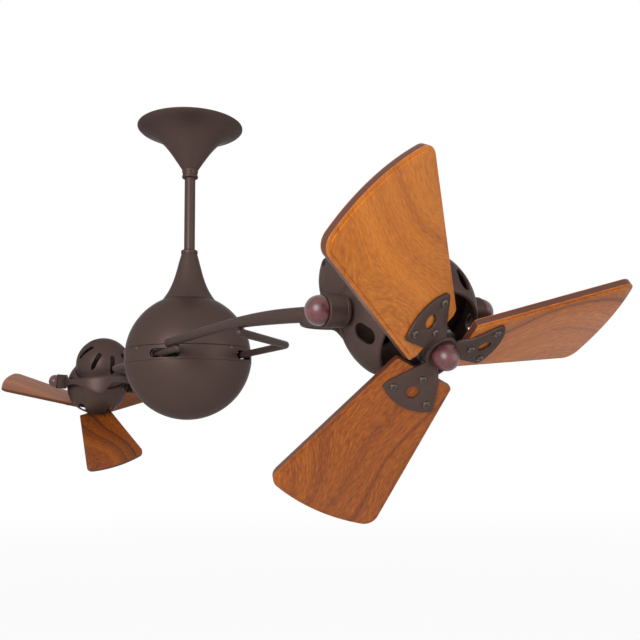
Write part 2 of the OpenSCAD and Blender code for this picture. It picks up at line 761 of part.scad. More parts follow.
module front_shell(side) {
    color(bronze) at_head(side) difference() {
        union() {
            difference() {
                translate([0, 0, front_mid]) sphere(r = front_r, $fn = 192);
                translate([0, 0, front_mid]) sphere(r = front_r - head_wall, $fn = 192);
                translate([0, 0, -waist - 100 + 0.1]) cylinder(r = 100, h = 100);
                translate([0, 0, mouth_a]) cylinder(r = 100, h = 100);
            }
            translate([0, 0, bulkhead_at]) cylinder(r = front_r - head_wall / 2, h = bulkhead_t);
            translate([0, 0, bulkhead_at]) cylinder(r = motor_bearing_r + 3, h = motor_bearing_h);
            for (s = [-1, 1]) translate([0, s * (front_r - 5 + boss_in - face_gap) / 2, 0])
                rotate([90, 0, 0]) cylinder(r = shell_boss_r, h = boss_in - face_gap - front_r + 5, center = true);
        }
        translate([0, 0, bulkhead_at - 1]) cylinder(r = motor_bearing_r + run_gap, h = motor_bearing_h + 2);
        for (k = [0 : 5]) rotate([0, 0, k * 60 + 30]) translate([32, 0, 0]) cylinder(r = 7, h = 30);
        for (k = [0 : front_vents - 1]) rotate([0, 0, vent_phase + 90 + k * 360 / front_vents])
            translate([0, 0, front_mid]) rotate([0, -asin(vent_mid / front_r), 0])
                translate([front_r - 12, 0, 0]) rotate([90, 0, 90]) linear_extrude(30) rotate(90) pill(vent_l, vent_w);
        rotate([0, 0, shell_phase]) shell_screw_holes();
        rotate([90, 0, 0]) cylinder(d = stud_d + 2 * run_gap, h = 200, center = true);
    }
}

module shell_screws(side) {
    color(steel) at_head(side) rotate([0, 0, shell_phase])
        for (k = [0 : screw_count - 1]) rotate([0, 0, screw_phase + k * 360 / screw_count])
            translate([0, 0, screw_a]) rotate([0, 90, 0]) {
                translate([0, 0, stator_r + 3]) cylinder(d = 3.6, h = screw_seat - stator_r - 2);
                translate([0, 0, screw_seat + eps]) cylinder(d = 7, h = 2.2);
            }
}

module stator(side) {
    color(copper) at_head(side) translate([0, 0, stator_back]) ring(stator_r, core_r + air_gap, stator_l);
}

module motor_bearings(side) {
    color(steel) at_head(side) {
        translate([0, 0, bulkhead_at]) ring(motor_bearing_r, shaft_d / 2 + run_gap, motor_bearing_h);
        translate([0, 0, web_at + web_t - motor_bearing_h])
            ring(motor_bearing_r, shaft_d / 2 + run_gap, motor_bearing_h);
    }
}

module pivot_studs(side) {
    stud_in = stator_r + 2;
    stud_out = boss_out - 2;
    color(steel) at_head(side) for (s = [0, 180]) rotate([0, 0, s]) difference() {
        translate([0, stud_out, 0]) rotate([90, 0, 0]) cylinder(d = stud_d, h = stud_out - stud_in);
        translate([0, stud_out + 1, 0]) rotate([90, 0, 0]) cylinder(d = clamp_d + 2 * run_gap, h = 14);
    }
}

// Domed wooden cap: an arc of a half round over a short straight skirt
module dome_cap(r, l, skirt) {
    steps = 24;
    rotate_extrude() polygon(concat([[0, 0], [r * 0.94, 0], [r, skirt * 0.4], [r, skirt]],
        [for (i = [1 : steps]) let (a = 90 * i / steps) [r * cos(a), skirt + (l - skirt) * sin(a)]]));
}

module knob(side, hand) {
    color(knob_wood) at_fork(side) rotate([0, 0, hand > 0 ? 0 : 180]) {
        translate([0, boss_out + face_gap, 0]) rotate([-90, 0, 0]) dome_cap(knob_r, knob_l, 3);
        translate([0, boss_out + face_gap + 1, 0]) rotate([90, 0, 0]) cylinder(d = clamp_d, h = 13);
    }
}

// ---- Rotor and blades ----

module rotor(side) {
    color(steel) at_rotor(side) {
        translate([0, 0, shaft_back]) cylinder(d = shaft_d, h = hub_face + shaft_tip - shaft_back);
        translate([0, 0, stator_back + 2]) cylinder(r = core_r, h = stator_l - 4);
        translate([0, 0, hub_back]) cylinder(r = hub_r, h = hub_front - hub_deep - hub_back);
    }
}

// Side of a blade at radius p, and the tip corner that rounds it into the tip arc
blade_k = (blade_tip_half - blade_root_half) / (blade_tip_r * 0.92 - blade_root);
blade_lean = atan(blade_k);
function side_at(p) = blade_root_half + blade_k * (p - blade_root);
corner_q = side_at(0) - blade_corner / cos(blade_lean);
corner_b = 1 + pow(blade_k, 2);
corner_p = (-corner_q * blade_k + sqrt(pow(corner_q * blade_k, 2)
    - corner_b * (pow(corner_q, 2) - pow(blade_tip_r - blade_corner, 2)))) / corner_b;
corner_s = corner_q + blade_k * corner_p;
corner_az = atan(corner_s / corner_p);
function half_outline() = concat(
    [[blade_root_half, blade_root + 2], [side_at(blade_root + 2), blade_root + 4]],
    [for (i = [0 : 10]) let (a = -blade_lean + (90 - corner_az + blade_lean) * i / 10)
        [corner_s + blade_corner * cos(a), corner_p + blade_corner * sin(a)]],
    [for (i = [1 : 12]) let (a = 90 - corner_az + corner_az * i / 12)
        [blade_tip_r * cos(a), blade_tip_r * sin(a)]]);

module blade_outline() {
    right = half_outline();
    n = len(right);
    polygon(concat([[blade_root_half - 2, blade_root]], right,
        [for (i = [n - 2 : -1 : 0]) [-right[i][0], right[i][1]]], [[2 - blade_root_half, blade_root]]));
}

module at_blade_screws() {
    translate([0, inner_screw, 0]) children();
    for (s = [-1, 1]) translate([s * outer_screw[1], outer_screw[0], 0]) children();
}

module blade(side, k) {
    color(wood) at_blade(side, k) translate([0, 0, blade_front - blade_t]) difference() {
        linear_extrude(blade_t) blade_outline();
        at_blade_screws() translate([0, 0, -1]) cylinder(d = blade_screw_d + 0.2, h = blade_t + 2);
    }
}

// Right half of a lobe: neck, straight side, rounded corner, half of the bowed end
function lobe_right() = let (
        x = lobe_half - lobe_corner,
        y = lobe_out - lobe_bow - lobe_corner,
        bow_r = (pow(x, 2) + pow(lobe_bow, 2)) / (2 * lobe_bow),
        half = asin(x / bow_r),
        far = sqrt(pow(x - lobe_neck, 2) + pow(y - lobe_start, 2)),
        normal = atan2(y - lobe_start, x - lobe_neck) - asin(lobe_corner / far) - 90)
    concat([[lobe_neck, lobe_start]],
        [for (i = [0 : 8]) let (a = normal + (90 - half - normal) * i / 8)
            [x + lobe_corner * cos(a), y + lobe_corner * sin(a)]],
        [for (i = [1 : 9]) let (a = 90 - half + half * i / 10)
            [(bow_r + lobe_corner) * cos(a), y + lobe_bow - bow_r + (bow_r + lobe_corner) * sin(a)]]);

module lobe_outline() {
    right = lobe_right();
    n = len(right);
    polygon(concat(right, [[0, lobe_out]], [for (i = [n - 1 : -1 : 0]) [-right[i][0], right[i][1]]]));
}

module bracket(side) {
    color(bronze) difference() {
        union() {
            for (k = [0 : 2]) at_blade(side, k) translate([0, 0, -bracket_t])
                linear_extrude(bracket_t) lobe_outline();
            at_rotor(side) translate([0, 0, hub_front - hub_deep + eps])
                cylinder(r = bracket_hub_r, h = hub_face - hub_front + hub_deep);
        }
        at_rotor(side) translate([0, 0, hub_front - 20]) cylinder(d = shaft_d + 2 * run_gap, h = 40);
        for (k = [0 : 2]) at_blade(side, k) {
            translate([0, window_at, -10]) cylinder(r = window_r, h = 20);
            at_blade_screws() translate([0, 0, -10]) cylinder(d = blade_screw_d + 0.2, h = 20);
        }
    }
}

module blade_screws(side) {
    color(steel) for (k = [0 : 2]) at_blade(side, k) at_blade_screws() {
        translate([0, 0, blade_front - blade_t]) cylinder(d = blade_screw_d, h = blade_t - blade_front + eps);
        cylinder(d = 7.4, h = 1.6);
    }
}

module finial(side) {
    color(knob_wood) at_rotor(side) translate([0, 0, hub_face + 2 * eps]) difference() {
        dome_cap(finial_r, finial_l, 3);
        translate([0, 0, -1]) cylinder(d = shaft_d + 2 * run_gap, h = shaft_tip + 2);
    }
}

ceiling_plate();
hanger_ball();
hanger_pin();
downrod();
canopy();
canopy_collar();
collar_screws();
neck_cover();
upper_dome();
coupling();
spindle();
slip_ring();
spindle_nut();
carrier_plate();
band();
band_screws();
lower_bowl();
bowl_screws();
upper_bearing();
lower_bearing();
brush_block();
stub(0);  // stub_a
arm(0);  // arm_a
brace(0);  // brace_a
fork(0);  // fork_a
stub(1);  // stub_b
arm(1);  // arm_b
brace(1);  // brace_b
fork(1);  // fork_b
rear_shell(0);  // rear_shell_a
front_shell(0);  // front_shell_a
shell_screws(0);  // shell_screws_a
stator(0);  // stator_a
motor_bearings(0);  // motor_bearings_a
pivot_studs(0);  // pivot_studs_a
knob(0, -1);  // knob_a_left
knob(0, 1);  // knob_a_right
rotor(0);  // rotor_a
bracket(0);  // bracket_a
blade(0, 0);  // blade_a1
blade(0, 1);  // blade_a2
blade(0, 2);  // blade_a3
blade_screws(0);  // blade_screws_a
finial(0);  // finial_a
rear_shell(1);  // rear_shell_b
front_shell(1);  // front_shell_b
shell_screws(1);  // shell_screws_b
stator(1);  // stator_b
motor_bearings(1);  // motor_bearings_b
pivot_studs(1);  // pivot_studs_b
knob(1, -1);  // knob_b_left
knob(1, 1);  // knob_b_right
rotor(1);  // rotor_b
bracket(1);  // bracket_b
blade(1, 0);  // blade_b1
blade(1, 1);  // blade_b2
blade(1, 2);  // blade_b3
blade_screws(1);  // blade_screws_b
finial(1);  // finial_b
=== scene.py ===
"""Twin head ceiling fan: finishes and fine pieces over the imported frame.

A sphere on a downrod carries two drooping arms, and each arm ends in a fork
that holds a motor head with three wooden blades. Sizes are in millimetres in
each piece's own frame, and a place matrix sets the piece into the fan.
"""

import json
import logging
import math
from dataclasses import dataclass
from enum import Enum
from functools import partial
from operator import matmul
from typing import Any, Callable, Iterable, Optional, Sequence, Union

import bmesh
import bpy
from mathutils import Matrix, Vector


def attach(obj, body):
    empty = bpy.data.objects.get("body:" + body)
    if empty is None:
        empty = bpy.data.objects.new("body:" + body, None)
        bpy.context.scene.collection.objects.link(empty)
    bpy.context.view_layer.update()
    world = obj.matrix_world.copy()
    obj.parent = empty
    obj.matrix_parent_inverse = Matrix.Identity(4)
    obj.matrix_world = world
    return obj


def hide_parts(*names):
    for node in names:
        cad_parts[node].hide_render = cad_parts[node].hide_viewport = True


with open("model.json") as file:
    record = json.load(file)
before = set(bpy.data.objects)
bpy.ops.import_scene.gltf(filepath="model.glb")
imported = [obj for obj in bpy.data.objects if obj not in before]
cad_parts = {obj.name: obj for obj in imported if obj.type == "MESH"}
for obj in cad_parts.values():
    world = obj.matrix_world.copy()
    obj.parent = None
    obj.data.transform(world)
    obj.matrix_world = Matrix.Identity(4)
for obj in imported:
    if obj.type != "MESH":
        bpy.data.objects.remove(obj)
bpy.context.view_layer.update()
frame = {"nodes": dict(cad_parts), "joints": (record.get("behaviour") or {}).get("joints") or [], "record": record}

MM = 0.001
TO_METRES = Matrix.Scale(MM, 4).freeze()
ALONG_X = Vector((1.0, 0.0, 0.0)).freeze()
ALONG_Y = Vector((0.0, 1.0, 0.0)).freeze()
ALONG_Z = Vector((0.0, 0.0, 1.0)).freeze()
WHITE = (1.0, 1.0, 1.0, 1.0)
JOINTS = {joint["name"]: joint for joint in frame["joints"]}
Point2 = tuple[float, float]
Point3 = tuple[float, float, float]
Colour = tuple[float, float, float]
log = logging.getLogger("fan")

# Air between faces that rest on each other, and the bore round the downrod.
GAP = 0.02
ROD_HOLE = 9.05

# A board keeps the point of its plank in this attribute. Z holds the blade's tone in
# tenths, lowered a little, so that CEIL finds the tone all through the board. The tone is
# partly the plank's wood and partly painted light and shade: lighter for a blade seen lit,
# darker for one seen in shade.
GRAIN = "grain"
SHADE_STEP = 0.1
SHADE_DROP = 0.02


# ---------------------------------------------------------------- places


def spun(degrees: float, axis: str) -> Matrix:
    """A turn about the X, Y or Z axis."""
    return Matrix.Rotation(math.radians(degrees), 4, axis)


def shifted(x: float = 0.0, y: float = 0.0, z: float = 0.0) -> Matrix:
    """A move along the axes."""
    return Matrix.Translation((x, y, z))


class Side(Enum):
    """The two ends of the fan: head A at +X and head B at -X."""

    A = "a"
    B = "b"

    @property
    def blade_phase(self) -> float:
        """Turn of the rotor at rest, in degrees."""
        return 129.8 if self is Side.A else 260.7


class Hand(Enum):
    """The two ends of a tilt axis: right at +Y of the fork and left at -Y."""

    RIGHT = 1
    LEFT = -1

    @property
    def outwards(self) -> Matrix:
        """Turn that lays the Z axis of a part outwards along the tilt axis."""
        return spun(-90.0 * self.value, "X")


def joint_point(name: str) -> Vector:
    """Point that the named joint turns about, in metres."""
    return Vector(JOINTS[name]["pos_m"])


def joint_axis(name: str) -> Vector:
    """Unit axis of the named joint."""
    return Vector(JOINTS[name]["axis"]).normalized()


def from_axes(origin: Vector, x: Vector, y: Vector, z: Vector) -> Matrix:
    """Place of a local frame, by its origin in metres and its three unit axes."""
    turn = Matrix((x, y, z)).transposed().to_4x4()
    return Matrix.Translation(origin) @ turn @ TO_METRES


def sphere_place(side: Side = Side.A) -> Matrix:
    """Place of the sphere's centre, turned towards one end of the fan."""
    turn = spun(0.0 if side is Side.A else 180.0, "Z")
    return Matrix.Translation(joint_point("carrier_turn")) @ turn @ TO_METRES


def fork_place(side: Side) -> Matrix:
    """Place of a fork: X outwards along the arm, Y along the tilt axis.

    Args:
        side: Its end of the fan.

    Returns:
        The place matrix.
    """
    tilt = f"head_{side.value}_tilt"
    x = ALONG_X if side is Side.A else -ALONG_X
    y = joint_axis(tilt)
    return from_axes(joint_point(tilt), x, y, x.cross(y))


def head_place(side: Side) -> Matrix:
    """Place of a head: Z along the motor axis, Y along the tilt axis.

    Args:
        side: Its end of the fan.

    Returns:
        The place matrix.
    """
    tilt = f"head_{side.value}_tilt"
    y = joint_axis(tilt)
    z = joint_axis(f"rotor_{side.value}_spin")
    return from_axes(joint_point(tilt), y.cross(z), y, z)


def rotor_place(side: Side, third: int = 0) -> Matrix:
    """Place of a rotor, with Y along the blade of that number."""
    return head_place(side) @ spun(side.blade_phase + 120.0 * third, "Z")


# ---------------------------------------------------------------- node maths

Value = Union["Sock", float, Sequence[float]]


class Sock:
    """A node's output that takes part in written-out shader maths."""

    def __init__(self, graph: "Graph", output: bpy.types.NodeSocket) -> None:
        """Wraps an output of the graph."""
        self.graph = graph
        self.output = output

    def math(self, operation: str, *values: Value) -> "Sock":
        """Adds a Math node whose first value is this output and whose others follow."""
        inputs = dict(enumerate([self, *values]))
        return self.graph.node("ShaderNodeMath", {"operation": operation}, inputs)

    def __add__(self, other: Value) -> "Sock":
        """Sum."""
        return self.math("ADD", other)

    __radd__ = __add__

    def __mul__(self, other: Value) -> "Sock":
        """Product."""
        return self.math("MULTIPLY", other)

    __rmul__ = __mul__

    def __sub__(self, other: Value) -> "Sock":
        """Difference."""
        return self.math("SUBTRACT", other)

    def __rsub__(self, other: float) -> "Sock":
        """Difference with the number first."""
        return self.math("MULTIPLY_ADD", -1.0, other)

    def step(self, low: float, high: float) -> "Sock":
        """Smooth rise from 0 where this value is low to 1 where it is high."""
        inputs = {"Value": self, "From Min": low, "From Max": high}
        return self.graph.node("ShaderNodeMapRange", {"interpolation_type": "SMOOTHSTEP"}, inputs)


class Graph:
    """The node tree of one finish, or of the surroundings."""

    def __init__(self, owner: Union[bpy.types.Material, bpy.types.World]) -> None:
        """Starts with no nodes.

        Args:
            owner: The new material or world that the nodes are for.
        """
        owner.use_nodes = True
        self.owner = owner
        self.tree = owner.node_tree
        self.tree.nodes.clear()

    def node(
        self,
        kind: str,
        settings: Optional[dict[str, Any]] = None,
        inputs: Optional[dict[Union[int, str], Value]] = None,
        output: Union[int, str] = 0,
    ) -> Sock:
        """Adds one node of any type.

        Args:
            kind: The node's type name.
            settings: Properties, set first; "stops" fills a colour ramp.
            inputs: Socket index or name to a number, colour or other output.
            output: Which output to hand back.

        Returns:
            The chosen output.
        """
        made = self.tree.nodes.new(kind)
        for key, value in (settings or {}).items():
            if key == "stops":
                self._fill_ramp(made.color_ramp, value)
            else:
                setattr(made, key, value)
        for key, value in (inputs or {}).items():
            if isinstance(value, Sock):
                self.tree.links.new(value.output, made.inputs[key])
            else:
                made.inputs[key].default_value = value
        return Sock(self, made.outputs[output])

    @staticmethod
    def _fill_ramp(ramp: bpy.types.ColorRamp, stops: Sequence[tuple[float, Colour]]) -> None:
        """Sets a colour ramp's stops.

        Args:
            ramp: The ramp, with fewer stops or as many.
            stops: Place and colour of each stop, places rising.
        """
        while len(ramp.elements) < len(stops):
            ramp.elements.new(1.0)
        for element, (place, colour) in zip(ramp.elements, stops):
            element.position = place
            element.color = (*colour, 1.0)

    def object_coords(self) -> Sock:
        """The point on the surface, in the fan's frame."""
        return self.node("ShaderNodeTexCoord", output="Object")

    def grain_coords(self) -> Sock:
        """The point in the plank that a board was cut from."""
        return self.node("ShaderNodeAttribute", {"attribute_name": GRAIN}, output="Vector")

    def split(self, vector: Sock) -> list[Sock]:
        """The three parts of a vector."""
        first = self.node("ShaderNodeSeparateXYZ", {}, {0: vector})
        return [Sock(self, output) for output in first.output.node.outputs]

    def stretched(self, vector: Sock, scale: Point3, move: Point3 = (0.0, 0.0, 0.0)) -> Sock:
        """A vector scaled along its axes and then moved."""
        return self.node("ShaderNodeMapping", {}, {0: vector, 1: move, 3: scale})

    def noise(
        self, vector: Sock, scale: float, detail: float = 2.0, rough: float = 0.5, warp: float = 0.0
    ) -> Sock:
        """Cloudy noise from 0 to 1."""
        inputs = {"Vector": vector, "Scale": scale, "Detail": detail, "Roughness": rough}
        return self.node("ShaderNodeTexNoise", {}, {**inputs, "Distortion": warp})

    def ramp(self, factor: Sock, stops: Sequence[tuple[float, Colour]]) -> Sock:
        """A colour picked along a ramp."""
        return self.node("ShaderNodeValToRGB", {"stops": stops}, {0: factor})

    def mixed(self, factor: Value, first: Value, second: Value) -> Sock:
        """Two colours mixed.

        Args:
            factor: Share of the second colour.
            first: A colour, or an output that gives one.
            second: Another.

        Returns:
            The mixed colour.
        """
        pair = [value if isinstance(value, Sock) else (*value, 1.0) for value in (first, second)]
        inputs = {0: factor, 6: pair[0], 7: pair[1]}
        return self.node("ShaderNodeMix", {"data_type": "RGBA"}, inputs, 2)

    def bumped(self, height: Sock, distance: float, strength: float = 1.0) -> Sock:
        """A normal raised by a height."""
        inputs = {"Strength": strength, "Distance": distance, "Height": height}
        return self.node("ShaderNodeBump", {}, inputs)

    def seen(self) -> Sock:
        """Tells rays that show the scene from those that only light it.

        Returns:
            1 for rays from the eye and for those mirrored or let through, else 0.
        """
        kinds = ("Camera", "Glossy", "Transmission")
        rays = [self.node("ShaderNodeLightPath", output=f"Is {kind} Ray") for kind in kinds]
        return rays[0].math("MAXIMUM", rays[1]).math("MAXIMUM", rays[2])

    def close(self, shader: Sock, kind: str = "ShaderNodeOutputMaterial") -> None:
        """Links a shader to the output node of that type."""
        out = self.tree.nodes.new(kind)
        self.tree.links.new(shader.output, out.inputs["Surface"])

    def surface(self, **sockets: Value) -> bpy.types.Material:
        """Closes the graph with one surface shader.

        Args:
            sockets: Shader sockets by name, with underscores for spaces.

        Returns:
            The finished material.
        """
        inputs = {key.replace("_", " "): value for key, value in sockets.items()}
        self.close(self.node("ShaderNodeBsdfPrincipled", {}, inputs))
        return self.owner


# ---------------------------------------------------------------- finishes


@dataclass(frozen=True)
class PaintedMetal:
    """Satin paint over cast and spun metal, with a fine fleck and a soft cloudy tone."""

    name: str = "satin_bronze"
    colour: Colour = (0.074, 0.047, 0.041)
    pale: Colour = (0.100, 0.067, 0.058)
    edge: Colour = (0.24, 0.19, 0.17)
    metallic: float = 0.42
    roughness: float = 0.42
    fleck: float = 900.0

    def make(self) -> bpy.types.Material:
        """Builds the material.

        Returns:
            The material.
        """
        graph = Graph(bpy.data.materials.new(self.name))
        place = graph.object_coords()
        cloud = graph.noise(place, 14.0, 3.0, 0.6)
        fleck = graph.noise(place, self.fleck, 2.0, 0.6)
        tone = cloud * 0.55 + fleck.step(0.42, 0.72) * 0.35
        return graph.surface(
            Base_Color=graph.mixed(tone, self.colour, self.pale),
            Metallic=self.metallic,
            Roughness=cloud * 0.10 + fleck * 0.10 + (self.roughness - 0.10),
            Normal=graph.bumped(fleck, 0.00012, 0.35),
            Specular_IOR_Level=0.06,
            Specular_Tint=(*self.edge, 1.0),
            Coat_Weight=0.02,
            Coat_Roughness=0.3,
        )


@dataclass(frozen=True)
class BladeWood:
    """Lacquered red-brown hardwood, cut along the blade with a flowing figure."""

    name: str = "blade_wood"
    light: Colour = (0.66, 0.205, 0.018)
    middle: Colour = (0.45, 0.120, 0.010)
    dark: Colour = (0.25, 0.060, 0.008)
    streak: Colour = (0.085, 0.021, 0.008)
    # Painted shade of the board's side walls.
    painted_rim_shade: Colour = (0.105, 0.036, 0.022)

    def make(self) -> bpy.types.Material:
        """Builds the material.

        Returns:
            The material.
        """
        graph = Graph(bpy.data.materials.new(self.name))
        place = graph.grain_coords()
        across, along, height = graph.split(place)
        level = height * (1.0 / SHADE_STEP)
        tone_and_light = level.math("CEIL")

        # The figure wanders across the board, and each tone has a figure of its own.
        drift = graph.noise(graph.stretched(place, (9.5, 5.8, 1.0)), 1.0, 0.0, 0.5)
        swirl = graph.noise(graph.stretched(place, (24.0, 12.0, 1.0), (3.0, 1.0, 0.0)), 1.0, 1.0, 0.4)
        course = across + (drift - 0.5) * 0.15 + (swirl - 0.5) * 0.012
        flat = graph.node("ShaderNodeCombineXYZ", {}, {0: course, 1: tone_and_light, 2: 0.0})
        broad = graph.noise(flat, 34.0, 2.0, 0.5)
        fine = graph.noise(flat, 260.0, 3.0, 0.65)
        dash = {0: course * 700.0, 1: along * 110.0, 2: tone_and_light}
        pores = graph.noise(graph.node("ShaderNodeCombineXYZ", {}, dash), 1.0, 2.0, 0.6)
        figure = (broad - 0.5) * 0.90 + (fine - 0.5) * 0.42 + (pores - 0.5) * 0.80
        veins = graph.noise(flat, 62.0, 1.0, 0.5).step(0.58, 0.70) * 0.22
        # The ramp starts from the blade's tone, partly plank colour and partly painted light and shade.
        colour = graph.ramp(
            tone_and_light * 0.1 + figure + veins,
            [(0.05, self.light), (0.36, self.middle), (0.66, self.dark), (1.0, self.streak)],
        )

        # The rim between two depths below the board's face is painted dark: painted shade on the board's side
        # walls.
        depth = tone_and_light - level - SHADE_DROP / SHADE_STEP
        rim = depth.step(0.015, 0.020) - depth.step(0.072, 0.077)
        return graph.surface(
            Base_Color=graph.mixed(rim, colour, self.painted_rim_shade),
            Roughness=0.42 + fine * 0.10,
            Normal=graph.bumped(pores, 0.00010, 0.35),
            Specular_IOR_Level=0.26,
            Coat_Weight=0.10,
            Coat_Roughness=0.25,
        )


@dataclass(frozen=True)
class TurnedWood:
    """Dark red polished wood of the knobs and finials."""

    name: str = "turned_wood"
    light: Colour = (0.17, 0.036, 0.042)
    dark: Colour = (0.042, 0.010, 0.011)

    def make(self) -> bpy.types.Material:
        """Builds the material.

        Returns:
            The material.
        """
        graph = Graph(bpy.data.materials.new(self.name))
        place = graph.object_coords()
        warp = graph.noise(place, 40.0, 3.0, 0.6)
        lines = graph.noise(graph.stretched(place, (260.0, 60.0, 130.0)), 1.0, 3.0, 0.65, 0.8)
        tone = lines * 0.75 + warp * 0.35
        return graph.surface(
            Base_Color=graph.ramp(tone, [(0.35, self.light), (0.68, self.dark)]),
            Roughness=0.42,
            Normal=graph.bumped(lines, 0.00008, 0.3),
            Coat_Weight=0.40,
            Coat_Roughness=0.26,
        )


@dataclass(frozen=True)
class BareMetal:
    """Machined or plated metal with faint turning marks."""

    name: str
    colour: Colour
    roughness: float = 0.32

    def make(self) -> bpy.types.Material:
        """Builds the material.

        Returns:
            The material.
        """
        graph = Graph(bpy.data.materials.new(self.name))
        marks = graph.noise(graph.stretched(graph.object_coords(), (300.0, 300.0, 2400.0)), 1.0)
        dull = tuple(part * 0.72 for part in self.colour)
        return graph.surface(
            Base_Color=graph.mixed(marks, self.colour, dull),
            Metallic=0.95,
            Roughness=marks * 0.2 + (self.roughness - 0.1),
            Normal=graph.bumped(marks, 0.00006, 0.25),
        )


@dataclass(frozen=True)
class Moulded:
    """Dark moulded plastic."""

    name: str = "moulded"
    colour: Colour = (0.03, 0.027, 0.025)

    def make(self) -> bpy.types.Material:
        """Builds the material.

        Returns:
            The material.
        """
        graph = Graph(bpy.data.materials.new(self.name))
        pebble = graph.noise(graph.object_coords(), 1400.0)
        raised = tuple(part * 1.6 for part in self.colour)
        return graph.surface(
            Base_Color=graph.mixed(pebble, self.colour, raised),
            Roughness=0.5 + pebble * 0.1,
            Normal=graph.bumped(pebble, 0.0001, 0.3),
        )


class Finishes:
    """Every finish of the fan, made once, by the record's material slots."""

    def __init__(self) -> None:
        """Builds the materials."""
        self.by_slot: dict[str, bpy.types.Material] = {
            "bronze": PaintedMetal().make(),
            "screw_bronze": BareMetal("screw_bronze", (0.125, 0.098, 0.084), 0.40).make(),
            "steel": BareMetal("steel", (0.52, 0.52, 0.53)).make(),
            "copper": BareMetal("copper", (0.50, 0.22, 0.10), 0.42).make(),
            "dark_plastic": Moulded().make(),
            "blade_wood": BladeWood().make(),
            "turned_wood": TurnedWood().make(),
        }

    def dress_nodes(self) -> None:
        """Gives every CAD node the finish of its slot in the record."""
        for part in frame["record"]["subparts"]:
            mesh = frame["nodes"][part["node"]].data
            mesh.materials.clear()
            mesh.materials.append(self.by_slot[part["material_slot"]])
            shaded(mesh, 32.0)


def shaded(mesh: bpy.types.Mesh, sharper: float) -> None:
    """Shades a mesh smooth but for the edges that are sharper than some degrees.

    Args:
        mesh: The mesh.
        sharper: Least angle between the faces of an edge that stays sharp.
    """
    for face in mesh.polygons:
        face.use_smooth = True
    mesh.set_sharp_from_angle(angle=math.radians(sharper))


def linked(name: str, data: bpy.types.ID) -> bpy.types.Object:
    """Puts data on a new object of the scene.

    Args:
        name: Name of the object.
        data: Its mesh, camera or lamp.

    Returns:
        The object.
    """
    made = bpy.data.objects.new(name, data)
    bpy.context.scene.collection.objects.link(made)
    return made


# ---------------------------------------------------------------- outlines


def shares(steps: int) -> list[float]:
    """Numbers from 0 to 1 in even steps."""
    return [step / steps for step in range(steps + 1)]


def evenly(count: int, first: float) -> list[float]:
    """Turns of so many things set evenly round a circle, in degrees."""
    return [first + 360.0 * index / count for index in range(count)]


def arc(
    radius: float, start: float, end: float, steps: int, centre: Point2 = (0.0, 0.0)
) -> list[Point2]:
    """Points of a circular arc, both ends included, with its angles in degrees."""
    turns = [math.radians(start + (end - start) * share) for share in shares(steps)]
    return [(centre[0] + radius * math.cos(t), centre[1] + radius * math.sin(t)) for t in turns]


def circle(radius: float, centre: Point2 = (0.0, 0.0), steps: int = 24) -> list[Point2]:
    """Outline of a round hole."""
    return arc(radius, 0.0, 360.0, steps, centre)[:-1]


def pill(length: float, width: float, steps: int) -> list[Point2]:
    """Outline of a slot along X, with so many steps round each end."""
    right = arc(width / 2, -90.0, 90.0, steps, ((length - width) / 2, 0.0))
    return [*right, *[(-x, -y) for x, y in right]]


def ease(t: float) -> float:
    """Smooth rise from 0 to 1, level before and after."""
    held = min(1.0, max(0.0, t))
    return held * held * (3.0 - 2.0 * held)


def read_off(points: Sequence[Point2], at: float) -> float:
    """Value of a broken line at a place, held level beyond its ends.

    Args:
        points: Place and value of each corner, places rising.
        at: The place.

    Returns:
        The value there.
    """
    if at <= points[0][0]:
        return points[0][1]
    for (start, first), (end, last) in zip(points, points[1:]):
        if at <= end:
            return first + (last - first) * (at - start) / (end - start)
    return points[-1][1]


def softened(profile: Sequence[Point2], radius: float, closed: bool = False) -> list[Point2]:
    """Rounds the clear corners of a profile.

    Args:
        profile: Corner points in order.
        radius: Rounding radius wished for, less where an edge is short.
        closed: Whether the last point joins the first.

    Returns:
        The profile with each corner replaced by a short arc.
    """
    points = [Vector(point) for point in profile]
    count = len(points)
    made: list[Point2] = []
    for index, corner in enumerate(points):
        before = points[index - 1] - corner
        after = points[(index + 1) % count] - corner
        opening = before.angle(after, math.pi)
        loose_end = not closed and index in (0, count - 1)
        if loose_end or opening > math.radians(155.0):
            made.append(tuple(corner))
            continue
        reach = min(radius / math.tan(opening / 2), before.length * 0.45, after.length * 0.45)
        start = corner + before.normalized() * reach
        end = corner + after.normalized() * reach
        made += [tuple(start.lerp(corner, t).lerp(corner.lerp(end, t), t)) for t in shares(4)]
    return made


# ---------------------------------------------------------------- modelling


